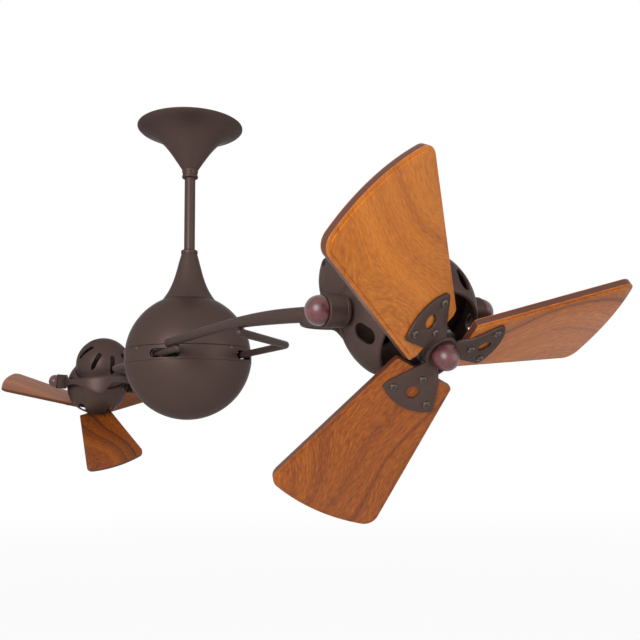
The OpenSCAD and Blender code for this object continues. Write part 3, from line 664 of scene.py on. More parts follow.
class Workpiece:
    """A piece being made in its own frame, in millimetres."""

    def __init__(self) -> None:
        """Starts with an empty bench."""
        self.bm = bmesh.new()

    # ---- first shapes

    def block(self, x: float, y: float, z: float) -> "Workpiece":
        """Makes a block of that size round the origin."""
        bmesh.ops.create_cube(self.bm, size=1.0, matrix=Matrix.Diagonal((x, y, z, 1.0)))
        return self

    def turned(
        self, profile: Sequence[Point2], steps: int = 96, closed: bool = False
    ) -> "Workpiece":
        """Turns a profile about Z as on a lathe.

        Args:
            profile: Radius and height of each point.
            steps: Divisions round the axis.
            closed: Whether the profile is a loop, as for a ring.

        Returns:
            The workpiece.
        """
        verts = [self.bm.verts.new((radius, 0.0, height)) for radius, height in profile]
        pairs = list(zip(verts, verts[1:]))
        if closed:
            pairs.append((verts[-1], verts[0]))
        edges = [self.bm.edges.new(pair) for pair in pairs]
        bmesh.ops.spin(
            self.bm,
            geom=verts + edges,
            cent=(0, 0, 0),
            axis=(0, 0, 1),
            dvec=(0, 0, 0),
            angle=math.tau,
            steps=steps,
            use_merge=True,
            use_duplicate=False,
        )
        return self.merged(0.0005)

    def drawn(self, sections: Sequence[Callable[[Vector], Vector]], sides: int) -> "Workpiece":
        """Draws a bar on from section to section.

        Args:
            sections: For each section, where it lays a point of the unit circle.
            sides: Points round the circle.

        Returns:
            The workpiece, closed at both ends.
        """
        made = bmesh.ops.create_circle(self.bm, cap_ends=True, radius=1.0, segments=sides)
        marks = {vert: vert.co.copy() for vert in made["verts"]}
        edges = list({edge for vert in marks for edge in vert.link_edges})
        for number, section in enumerate(sections):
            if number:
                grown = bmesh.ops.extrude_edge_only(self.bm, edges=edges)["geom"]
                fresh = [item for item in grown if isinstance(item, bmesh.types.BMVert)]
                marks = {vert: self._twin(vert, marks) for vert in fresh}
                rims = [item for item in grown if isinstance(item, bmesh.types.BMEdge)]
                edges = [edge for edge in rims if all(vert in marks for vert in edge.verts)]
            for vert, mark in marks.items():
                vert.co = section(mark)
        bmesh.ops.edgeloop_fill(self.bm, edges=edges)
        return self.outward()

    @staticmethod
    def _twin(vert: bmesh.types.BMVert, marks: dict[bmesh.types.BMVert, Vector]) -> Vector:
        """The mark of the point that a new point was drawn from."""
        others = (edge.other_vert(vert) for edge in vert.link_edges)
        return next(marks[other] for other in others if other in marks)

    def swept(
        self, stations: Sequence[tuple[Vector, Vector, float]], up: Vector, sides: int = 36
    ) -> "Workpiece":
        """Draws a round bar along a path.

        Args:
            stations: Centre, direction and radius of each section.
            up: A direction that no station points in.
            sides: Divisions round the bar.

        Returns:
            The workpiece, closed at both ends.
        """
        sections = []
        for centre, along, radius in stations:
            z = along.normalized()
            x = up.cross(z).normalized()
            turn = Matrix((x, z.cross(x), z)).transposed().to_4x4()
            size = Matrix.Diagonal((radius, radius, 1.0, 1.0))
            sections.append(partial(matmul, Matrix.Translation(centre) @ turn @ size))
        return self.drawn(sections, sides)

    def plate(
        self, outline: Sequence[Point2], holes: Iterable[Sequence[Point2]], thickness: float
    ) -> "Workpiece":
        """Cuts a flat plate with holes, from Z = 0 down.

        Args:
            outline: Outer corners in order.
            holes: Corners of each hole.
            thickness: Thickness of the plate.

        Returns:
            The workpiece.
        """
        edges = []
        for loop in [outline, *holes]:
            verts = [self.bm.verts.new((x, y, 0.0)) for x, y in loop]
            edges += [self.bm.edges.new((verts[i - 1], vert)) for i, vert in enumerate(verts)]
        bmesh.ops.triangle_fill(self.bm, use_beauty=True, use_dissolve=False, edges=edges)
        grown = bmesh.ops.extrude_face_region(self.bm, geom=list(self.bm.faces))["geom"]
        lower = [item for item in grown if isinstance(item, bmesh.types.BMVert)]
        bmesh.ops.translate(self.bm, vec=(0.0, 0.0, -thickness), verts=lower)
        return self.outward()

    def joined(self, *others: "Workpiece") -> "Workpiece":
        """Takes other pieces into this one.

        Args:
            others: The pieces to add, in this piece's frame; they are used up.

        Returns:
            The workpiece.
        """
        for other in others:
            mesh = other.off_bench("joined")
            self.bm.from_mesh(mesh)
            bpy.data.meshes.remove(mesh)
        return self

    # ---- cuts and edges

    def minus(self, *cutters: "Workpiece") -> "Workpiece":
        """Cuts other pieces out of this one.

        Args:
            cutters: Closed pieces in the same frame; they are used up.

        Returns:
            The workpiece.
        """
        body = linked("body", self.off_bench("body"))
        tools = [linked("tool", cutter.off_bench("tool")) for cutter in cutters]
        for tool in tools:
            cut = body.modifiers.new("cut", "BOOLEAN")
            cut.operation = "DIFFERENCE"
            cut.solver = "EXACT"
            cut.object = tool
        bpy.context.view_layer.update()
        result = body.evaluated_get(bpy.context.evaluated_depsgraph_get())
        mesh = bpy.data.meshes.new_from_object(result)
        self.bm = bmesh.new()
        self.bm.from_mesh(mesh)
        bpy.data.meshes.remove(mesh)
        for item in [body, *tools]:
            data = item.data
            bpy.data.objects.remove(item)
            bpy.data.meshes.remove(data)
        return self

    def merged(self, distance: float) -> "Workpiece":
        """Merges points closer than a distance and turns faces outwards.

        Args:
            distance: The distance.

        Returns:
            The workpiece.
        """
        bmesh.ops.remove_doubles(self.bm, verts=list(self.bm.verts), dist=distance)
        bmesh.ops.dissolve_degenerate(self.bm, edges=list(self.bm.edges), dist=distance / 2)
        return self.outward()

    def outward(self) -> "Workpiece":
        """Turns all faces outwards."""
        bmesh.ops.recalc_face_normals(self.bm, faces=list(self.bm.faces))
        return self

    def eased(
        self,
        width: float,
        segments: int = 2,
        sharper: float = 40.0,
        where: Optional[Callable[[Vector], bool]] = None,
    ) -> "Workpiece":
        """Rounds the sharp edges.

        Args:
            width: Width of the rounding.
            segments: Steps across it.
            sharper: Least angle between the faces, in degrees.
            where: Keeps only edges whose middle passes this test.

        Returns:
            The workpiece.
        """
        edges = []
        for edge in self.bm.edges:
            sharp = edge.is_manifold and edge.calc_face_angle(0.0) > math.radians(sharper)
            middle = (edge.verts[0].co + edge.verts[1].co) / 2
            if sharp and (where is None or where(middle)):
                edges.append(edge)
        bmesh.ops.bevel(
            self.bm,
            geom=edges,
            offset=width,
            offset_type="OFFSET",
            segments=segments,
            profile=0.5,
            affect="EDGES",
            clamp_overlap=True,
            material=-1,
        )
        return self

    def bent(self, move: Callable[[Vector], Vector]) -> "Workpiece":
        """Moves every point by a rule.

        Args:
            move: Where a point goes.

        Returns:
            The workpiece.
        """
        for vert in self.bm.verts:
            vert.co = move(vert.co)
        return self

    def placed(self, matrix: Matrix) -> "Workpiece":
        """Moves the whole piece in its own frame."""
        self.bm.transform(matrix)
        return self

    # ---- into the fan

    def off_bench(self, name: str) -> bpy.types.Mesh:
        """Hands the piece over as a mesh and clears the bench.

        Args:
            name: Name of the mesh.

        Returns:
            The mesh.
        """
        mesh = bpy.data.meshes.new(name)
        self.bm.to_mesh(mesh)
        self.bm.free()
        return mesh

    def into_fan(
        self,
        finishes: Finishes,
        name: str,
        place: Matrix,
        body: str,
        node: str,
        slot: str = "bronze",
        plank: Optional[Matrix] = None,
    ) -> None:
        """Makes the finished object and hangs it on its CAD body.

        Args:
            finishes: The fan's finishes.
            name: Name of the piece.
            place: Place matrix of its frame.
            body: CAD body that it rides on.
            node: CAD node that it stands for.
            slot: Material slot of the record.
            plank: Where the piece lay in its plank, for wood.
        """
        if plank is not None:
            layer = self.bm.verts.layers.float_vector.new(GRAIN)
            for vert in self.bm.verts:
                vert[layer] = plank @ vert.co
        mesh = self.placed(place).off_bench(name)
        shaded(mesh, 38.0)
        mesh.materials.append(finishes.by_slot[slot])
        made = linked(name, mesh)
        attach(made, body)
        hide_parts(node)
        log.info("%-22s %6d faces on %s", name, len(mesh.polygons), body)


def around(
    make: Callable[[], Workpiece], turns: Iterable[float], place: Matrix
) -> list[Workpiece]:
    """Copies of a piece, each set in its place and then turned about Z by some degrees."""
    return [make().placed(spun(turn, "Z") @ place) for turn in turns]


# ---------------------------------------------------------------- pieces


@dataclass
class Fastener:
    """A screw head with a cross recess, its seat at Z = 0."""

    radius: float = 3.6
    height: float = 1.8
    rim: float = 0.22
    sunk: float = 0.2

    def head(self) -> Workpiece:
        """Builds the domed head.

        Returns:
            The head.
        """
        foot = self.radius * 0.98
        dome = [
            (self.radius * x, self.height * (self.rim + (1.0 - self.rim) * y))
            for x, y in arc(1.0, 0.0, 90.0, 6)
        ]
        piece = Workpiece().turned([(0.0, -self.sunk), (foot, -self.sunk), (foot, 0.0), *dome], 24)
        bar = (self.radius * 1.15, self.radius * 0.24, self.height)
        lift = shifted(z=self.height * 1.05)
        return piece.minus(*around(lambda: Workpiece().block(*bar), (0.0, 90.0), lift))


@dataclass
class Suspension:
    """Canopy, its collar and the neck cover on the sphere."""

    canopy_r: float = 89.0
    rim_h: float = 1.5
    flare_h: float = 75.0
    cone: float = 0.58
    bell_reach: float = 0.17
    bell_left: float = 0.0118
    wall: float = 1.6
    foot_hole: float = 10.2
    collar_r: float = 13.5
    collar_h: float = 15.0
    collar_waist: float = 0.9
    rod_r: float = 9.0
    dome_r: float = 102.4
    neck_r: float = 44.0
    neck_h: float = 86.0
    neck_lip: float = 6.0
    steps: int = 40

    def _flare(self, t: float) -> float:
        """Radius of the canopy at a share of its height from the ceiling: a cone and a bell.

        Args:
            t: The share.

        Returns:
            The radius.
        """
        bell = (1.0 - self.cone) / (1.0 + (t / self.bell_reach) ** 2)
        swell = self.cone * (1.0 - t) + bell - self.bell_left * t
        return self.collar_r + (self.canopy_r - self.collar_r) * swell

    def canopy(self) -> Workpiece:
        """Bell canopy with a rolled rim.

        Returns:
            The canopy.
        """
        fall = self.flare_h - self.rim_h
        outer = [(self._flare(t), -self.rim_h - t * fall) for t in shares(self.steps)]
        shell = [(r - self.wall, z + 0.4 * self.wall) for r, z in reversed(outer)]
        inner = [(r, z) for r, z in shell if r > self.foot_hole + 0.2]
        foot = [(self.foot_hole, -self.flare_h), (self.foot_hole, inner[0][1])]
        rim = [(self.canopy_r - self.wall, 0.0), (self.canopy_r, 0.0)]
        return Workpiece().turned(softened([*rim, *outer, *foot, *inner], 0.6, True), 128, True)

    def collar(self) -> Workpiece:
        """Stepped collar that clamps the canopy to the rod.

        Returns:
            The collar.
        """
        top = -self.flare_h - GAP
        low = -self.flare_h - self.collar_h
        waist = self.collar_r - self.collar_waist
        ring = self.collar_r - 0.1
        profile = [
            (ROD_HOLE, top),
            (self.collar_r, top),
            (self.collar_r, top - 4.6),
            (waist, top - 5.2),
            (waist, low + 4.6),
            (ring, low + 4.0),
            (ring, low + 1.0),
            (ring - 1.3, low),
            (ROD_HOLE, low),
        ]
        return Workpiece().turned(softened(profile, 0.5, True), 72, True)

    def _neck_radius(self, t: float) -> float:
        """Radius of the neck cover at a share of its height from the dome.

        Args:
            t: The share.

        Returns:
            The radius.
        """
        top = self.rod_r + 4.0
        rise = 0.55 * (1 - t) + 0.45 * (1 - t) ** 3.3 + 0.22 * t * t * (1 - t)
        return top + (self.neck_r - top) * rise

    def neck(self) -> Workpiece:
        """Flared cover between the rod and the dome, origin at the sphere's centre.

        Returns:
            The cover.
        """
        base = math.sqrt(self.dome_r**2 - self.neck_r**2)
        tall = self.neck_h - self.neck_lip
        top = base + self.neck_h
        outer = [(self._neck_radius(t), base + 0.05 + t * tall) for t in shares(self.steps)]
        lip_r = self.rod_r + 4.8
        lip = [(lip_r, base + tall), (lip_r, top - 1.6), (lip_r - 1.4, top), (ROD_HOLE, top)]
        inner = [(ROD_HOLE, base + tall - 6.0), (self.neck_r - 9.0, base + 6.0)]
        return Workpiece().turned(softened([*outer, *lip, *inner], 0.7, True), 96, True)

    def build(self, finishes: Finishes) -> None:
        """Builds and hangs the pieces, the first two in a frame on the ceiling's face.

        Args:
            finishes: The fan's finishes.
        """
        self.canopy().into_fan(finishes, "canopy_shell", TO_METRES, "hanger", "canopy")
        self.collar().into_fan(finishes, "canopy_ring", TO_METRES, "hanger", "canopy_collar")
        self.neck().into_fan(finishes, "neck_bell", sphere_place(), "hanger", "neck_cover")


@dataclass
class Ball:
    """The sphere: upper dome, equator band with its slots, and lower bowl."""

    bowl_r: float = 104.0
    dome_r: float = 102.4
    wall: float = 2.0
    band_top: float = 9.5
    band_bottom: float = -13.5
    band_wall: float = 3.0
    band_skirt: float = 5.0
    groove: float = 0.6
    slot_az: float = 41.0
    slot_len: float = 49.0
    slot_h: float = 13.4
    slot_z: float = -3.4
    cut_out: float = 130.0
    cut_deep: float = 60.0
    screw_az: float = 20.0
    screw_z: float = 6.0

    def dome(self) -> Workpiece:
        """Upper dome with a turned-in lower edge.

        Returns:
            The dome.
        """
        low = math.degrees(math.asin((self.band_top + self.groove) / self.dome_r))
        high = math.degrees(math.acos(ROD_HOLE / self.dome_r))
        outer = arc(self.dome_r, low, high, 60)
        inner = arc(self.dome_r - self.wall, high, low, 60)
        return Workpiece().turned(softened([*outer, *inner], 0.7, True), 160, True)

    def bowl(self) -> Workpiece:
        """Lower bowl with a rounded rim.

        Returns:
            The bowl.
        """
        top = math.degrees(math.asin((self.band_bottom - GAP) / self.bowl_r))
        outer = arc(self.bowl_r, -90.0, top, 64)
        inner = arc(self.bowl_r - self.wall, top, -90.0, 64)
        rim = softened([*outer[-2:], *inner[:2]], 0.7)
        return Workpiece().turned([*outer[:-2], *rim, *inner[2:]], 160)

    def band(self) -> Workpiece:
        """Equator band with four slots for the arms and braces.

        Returns:
            The band.
        """
        out = self.bowl_r - 0.6
        inside = self.bowl_r - self.band_wall - 2.0
        lip = self.bowl_r - self.wall - 2.0
        low = self.band_bottom + GAP
        skirt = self.band_bottom - self.band_skirt
        profile = [
            (inside, self.band_top),
            (out, self.band_top),
            (out, low),
            (lip, low),
            (lip, skirt),
            (inside, skirt),
        ]
        ring = Workpiece().turned(softened(profile, 0.9, True), 180, True)
        mouth = pill(self.slot_len, self.slot_h, 12)
        slots = around(
            lambda: Workpiece().plate(mouth, [], self.cut_deep),
            (self.slot_az, 180.0 - self.slot_az, 180.0 + self.slot_az, -self.slot_az),
            shifted(self.cut_out, 0.0, self.slot_z) @ spun(90.0, "Z") @ spun(90.0, "X"),
        )
        return ring.minus(*slots).merged(0.15).eased(0.8, 3, 50.0, self._on_slot)

    def _on_slot(self, point: Vector) -> bool:
        """Whether a point lies on the mouth of a slot in the outer face."""
        level = abs(point.z - self.slot_z) < self.slot_h / 2 + 0.4
        return level and math.hypot(point.x, point.y) > self.bowl_r - 1.4

    def screws(self) -> Workpiece:
        """Four small screws round the band."""
        seat = shifted(self.bowl_r - 0.7, 0.0, self.screw_z) @ spun(90.0, "Y")
        return Workpiece().joined(*around(Fastener(2.8, 1.2).head, evenly(4, self.screw_az), seat))

    def build(self, finishes: Finishes) -> None:
        """Builds and hangs the pieces.

        Args:
            finishes: The fan's finishes.
        """
        place = sphere_place()
        self.dome().into_fan(finishes, "dome_shell", place, "hanger", "upper_dome")
        self.bowl().into_fan(finishes, "bowl_shell", place, "carrier", "lower_bowl")
        self.band().into_fan(finishes, "band_ring", place, "carrier", "band")
        self.screws().into_fan(
            finishes, "band_heads", place, "carrier", "band_screws", "screw_bronze"
        )


@dataclass
class Arm:
    """One arm with its stub and brace, in the frame of the sphere."""

    side: Side
    tube_d: float = 10.4
    arm_d: float = 12.8
    arm_end_d: float = 16.4
    arm_y: float = -70.0
    slot_z: float = -3.4
    arm_start: float = 105.0
    droop_start: float = 250.0
    droop_r: float = 2440.0
    droop_steps: int = 36
    swell_start: float = 300.0
    swell_run: float = 180.0
    slim_start: float = 526.0
    slim_run: float = 30.0
    slim_by: float = 2.2
    arm_end: float = 558.0
    stub_end: float = 145.0
    brace_y: float = 59.0
    brace_turn: float = 238.0
    brace_angle: float = 45.0
    bend_r: float = 20.0
    root: float = 30.0
    fork_centre: float = 550.0
    fork_in_r: float = 73.0

    @property
    def arm_z(self) -> float:
        """Height of the level stretch of the arm."""
        return self.slot_z + (self.tube_d + self.arm_d) / 2

    def _drop(self, x: float) -> float:
        """How far the arm has drooped at x."""
        over = max(0.0, x - self.droop_start)
        return self.droop_r - math.sqrt(self.droop_r**2 - over**2)

    def _radius(self, x: float) -> float:
        """Radius of the arm at x.

        Args:
            x: How far out.

        Returns:
            The radius.
        """
        swell = ease((x - self.swell_start) / self.swell_run)
        slim = ease((x - self.slim_start) / self.slim_run)
        return (self.arm_d + (self.arm_end_d - self.arm_d) * swell) / 2 - self.slim_by * slim

    @staticmethod
    def _round_end(centre: Vector, along: Vector, radius: float, first: bool = False) -> list:
        """Stations of a rounded end.

        Args:
            centre: Centre of the rounding.
            along: Direction of the bar.
            radius: Radius of the bar.
            first: Whether this is the first end of the bar, and not the last.

        Returns:
            The stations, in the order of the bar.
        """
        points = arc(radius, 4.0, 90.0, 7)[:-1]
        stations = [(centre + along * (-x if first else x), along, y) for x, y in points]
        return stations if first else stations[::-1]

    def bar(self) -> Workpiece:
        """The drooping arm, rounded at its inner end and cut to fit the fork.

        Returns:
            The arm.
        """
        start = Vector((self.arm_start, self.arm_y, self.arm_z))
        radius = self.arm_d / 2
        stations = [*self._round_end(start, ALONG_X, radius, True), (start, ALONG_X, radius)]
        for share in shares(self.droop_steps):
            over = (self.arm_end - self.droop_start) * share
            x = self.droop_start + over
            slope = math.asin(over / self.droop_r)
            centre = Vector((x, self.arm_y, self.arm_z - self._drop(x)))
            along = Vector((math.cos(slope), 0.0, -math.sin(slope)))
            stations.append((centre, along, self._radius(x)))
        bar = Workpiece().swept(stations, ALONG_Y, 40)
        inside = [(0.0, -60.0), (self.fork_in_r, -60.0), (self.fork_in_r, 60.0), (0.0, 60.0)]
        fork = Workpiece().turned(inside, 120).placed(shifted(self.fork_centre, z=-10.0))
        return bar.minus(fork)

    def stub(self) -> Workpiece:
        """Short tube out of the band that the arm lies on.

        Returns:
            The stub.
        """
        radius = self.tube_d / 2
        start = Vector((self.root, self.arm_y, self.slot_z))
        end = Vector((self.stub_end, self.arm_y, self.slot_z))
        stations = [(start, ALONG_X, radius), (end, ALONG_X, radius)]
        return Workpiece().swept([*stations, *self._round_end(end, ALONG_X, radius)], ALONG_Y)

    def brace(self) -> Workpiece:
        """Brace with one bend, its rounded end under the arm.

        Returns:
            The brace.
        """
        radius = self.tube_d / 2
        turn = math.radians(self.brace_angle)
        run = (self.brace_y - self.arm_y) / math.sin(turn)
        end_x = self.brace_turn + run * math.cos(turn)
        end_z = self.arm_z - self._drop(end_x) - self._radius(end_x) - radius - GAP
        fall = math.asin((self.slot_z - end_z) / (self.brace_y - self.arm_y))
        bend = Vector((self.brace_turn - self.bend_r * math.tan(turn / 2), -self.bend_r, 0.0))
        stations = [(ALONG_X * self.root, ALONG_X, radius)]
        for x, y in arc(1.0, 90.0, 90.0 - self.brace_angle, 10):
            stations.append((bend + Vector((x, y, 0.0)) * self.bend_r, Vector((y, -x, 0.0)), radius))
        along = Vector((math.cos(turn), -math.sin(turn), 0.0))
        end = ALONG_X * self.brace_turn + along * run
        stations += [(end, along, radius), *self._round_end(end, along, radius)]
        tip = shifted(0.0, self.brace_y, self.slot_z) @ spun(math.degrees(fall), "X")
        return Workpiece().swept(stations, ALONG_Z).placed(tip)

    def build(self, finishes: Finishes) -> None:
        """Builds and hangs the pieces.

        Args:
            finishes: The fan's finishes.
        """
        tag = self.side.value
        place = sphere_place(self.side)
        self.bar().into_fan(finishes, f"arm_bar_{tag}", place, "carrier", f"arm_{tag}")
        self.stub().into_fan(finishes, f"arm_stub_{tag}", place, "carrier", f"stub_{tag}")
        self.brace().into_fan(finishes, f"arm_brace_{tag}", place, "carrier", f"brace_{tag}")


@dataclass
class Fork:
    """U-shaped fork with its two pivot bosses, in the frame of the fork."""

    side: Side
    half: float = 72.0
    wall: float = 6.0
    straight: float = 52.0
    over: float = 1.0
    top: float = 10.4
    deep: float = 30.0
    slim: float = 10.0
    shoulder: float = 3.0
    shoulder_at: float = -83.0
    belly_from: float = -6.0
    belly_at: float = 24.0
    belly_over: float = 2.0
    prong_root: float = 60.0
    waist_at: float = -47.0
    flare_at: float = -21.0
    rise: float = 2.5
    rise_run: float = 30.0
    lap: float = 0.5
    boss_r: float = 15.8
    boss_in: float = 70.5
    boss_out: float = 92.5
    seam: float = 4.0
    pivot_hole: float = 5.05
    stations: int = 104

    @property
    def back(self) -> float:
        """How far the strap reaches behind the tilt axis."""
        return self.straight + self.half + self.wall + self.over

    def _belly(self, y: float) -> float:
        """Height of the lower edge round the back of the fork.

        Args:
            y: Place along the tilt axis.

        Returns:
            The height.
        """
        if y < self.belly_at:
            t = (y - self.belly_from) / (self.belly_at - self.belly_from)
            return -self.shoulder - (self.deep - self.shoulder) * ease(t)
        t = (y - self.belly_at) / (self.half + self.belly_over - self.belly_at)
        return -self.deep + (self.deep - self.slim) * ease(t)

    def _edges(self, middle: Vector) -> tuple[float, float]:
        """Heights of the two edges of the strap.

        Args:
            middle: A point on the middle of the strap.

        Returns:
            The heights of the lower and the upper edge there.
        """
        full = self.boss_r - 1.0
        if middle.y < self.belly_from:
            low = [(self.shoulder_at, -self.shoulder), (self.waist_at, -self.slim)]
            high = [
                (-self.back, self.top),
                (self.rise_run - self.back, self.top + self.rise - self.lap),
                (self.flare_at, self.top + self.rise),
            ]
        elif middle.x > -self.prong_root:
            low = [(-self.prong_root, -self.slim), (self.waist_at, -self.slim - self.lap)]
            high = [(-self.prong_root - self.lap, self.lap), (self.flare_at, self.top)]
        else:
            high = [(-self.belly_from, self.top), (self.half + self.wall + self.over, 0.0)]
            return self._belly(middle.y), read_off(high, middle.y)
        low_at = read_off([*low, (self.flare_at, -full)], middle.x)
        return low_at, read_off([*high, (0.0, full)], middle.x)

    def _section(self, share: float) -> tuple[Vector, Vector]:
        """One section of the strap.

        Args:
            share: Its share of the strap's run.

        Returns:
            The middle of the strap there, and its outward direction.
        """
        mid = self.half + self.wall / 2
        total = math.pi * mid + 2 * self.straight
        run = share * total
        if run < self.straight:
            return Vector((-run, -mid, 0.0)), -ALONG_Y
        if run > total - self.straight:
            return Vector((run - total, mid, 0.0)), ALONG_Y
        angle = (run - self.straight) / mid
        out = Vector((-math.sin(angle), -math.cos(angle), 0.0))
        return out * mid - ALONG_X * self.straight, out

    def _laid(self, share: float, mark: Vector) -> Vector:
        """Lays a point of the unit circle on a section with softly rounded edges.

        Args:
            share: The section's share of the strap's run.
            mark: The point of the circle.

        Returns:
            Where it goes.
        """
        middle, out = self._section(share)
        low, high = self._edges(middle)
        flat = math.copysign(min(1.0, abs(mark.x) ** 0.55 * 1.02), mark.x)
        tall = math.copysign(min(1.0, abs(mark.y) ** 0.8), mark.y)
        point = middle + out * flat * self.wall / 2
        point.z = (low + high) / 2 + tall * (high - low) / 2
        return point

    def strap(self) -> Workpiece:
        """The strap, drawn round the head."""
        return Workpiece().drawn([partial(self._laid, share) for share in shares(self.stations)], 28)

    def boss(self, hand: Hand) -> Workpiece:
        """Pivot boss on one prong, with a seam round it.

        Args:
            hand: Which prong.

        Returns:
            The boss.
        """
        seam = self.boss_in + self.seam
        groove = self.boss_r - 0.6
        profile = [
            (self.pivot_hole, self.boss_in),
            (self.boss_r, self.boss_in),
            (self.boss_r, seam - 0.5),
            (groove, seam - 0.4),
            (groove, seam + 0.4),
            (self.boss_r, seam + 0.5),
            (self.boss_r, self.boss_out),
            (self.pivot_hole, self.boss_out),
        ]
        return Workpiece().turned(softened(profile, 1.1, True), 72, True).placed(hand.outwards)

    def build(self, finishes: Finishes) -> None:
        """Builds and hangs the fork.

        Args:
            finishes: The fan's finishes.
        """
        tag = self.side.value
        piece = self.strap().joined(*[self.boss(hand) for hand in Hand])
        place = fork_place(self.side)
        piece.into_fan(finishes, f"fork_strap_{tag}", place, "carrier", f"fork_{tag}")


@dataclass
class TurnedCap:
    """An egg-shaped wooden cap over a short skirt, seated at Z = 0."""

    radius: float
    length: float
    skirt: float = 3.0

    def cap(self) -> Workpiece:
        """Builds the cap.

        Returns:
            The cap.
        """
        foot = [(0.0, 0.0), (self.radius * 0.92, 0.0), (self.radius * 0.985, self.skirt * 0.3)]
        tall = self.length - self.skirt
        crown = [(self.radius * x**0.92, self.skirt + tall * y) for x, y in arc(1.0, 0.0, 90.0, 20)]
        return Workpiece().turned(softened([*foot, *crown], 0.8), 64)


@dataclass
class Knob:
    """A wooden tilt knob on the end of a pivot."""

    side: Side
    hand: Hand
    seat: float = 92.8
    radius: float = 14.2
    length: float = 16.5
    stem_r: float = 3.0
    stem_l: float = 12.0

    def build(self, finishes: Finishes) -> None:
        """Builds and hangs the knob.

        Args:
            finishes: The fan's finishes.
        """
        tag = f"{self.side.value}_{self.hand.name.lower()}"
        stem = [(0.0, -self.stem_l), (self.stem_r, -self.stem_l), (self.stem_r, 0.5), (0.0, 0.5)]
        cap = TurnedCap(self.radius, self.length).cap().joined(Workpiece().turned(stem, 24))
        place = fork_place(self.side) @ self.hand.outwards @ shifted(z=self.seat)
        cap.into_fan(
            finishes, f"knob_cap_{tag}", place, f"knob_{tag}_body", f"knob_{tag}", "turned_wood"
        )


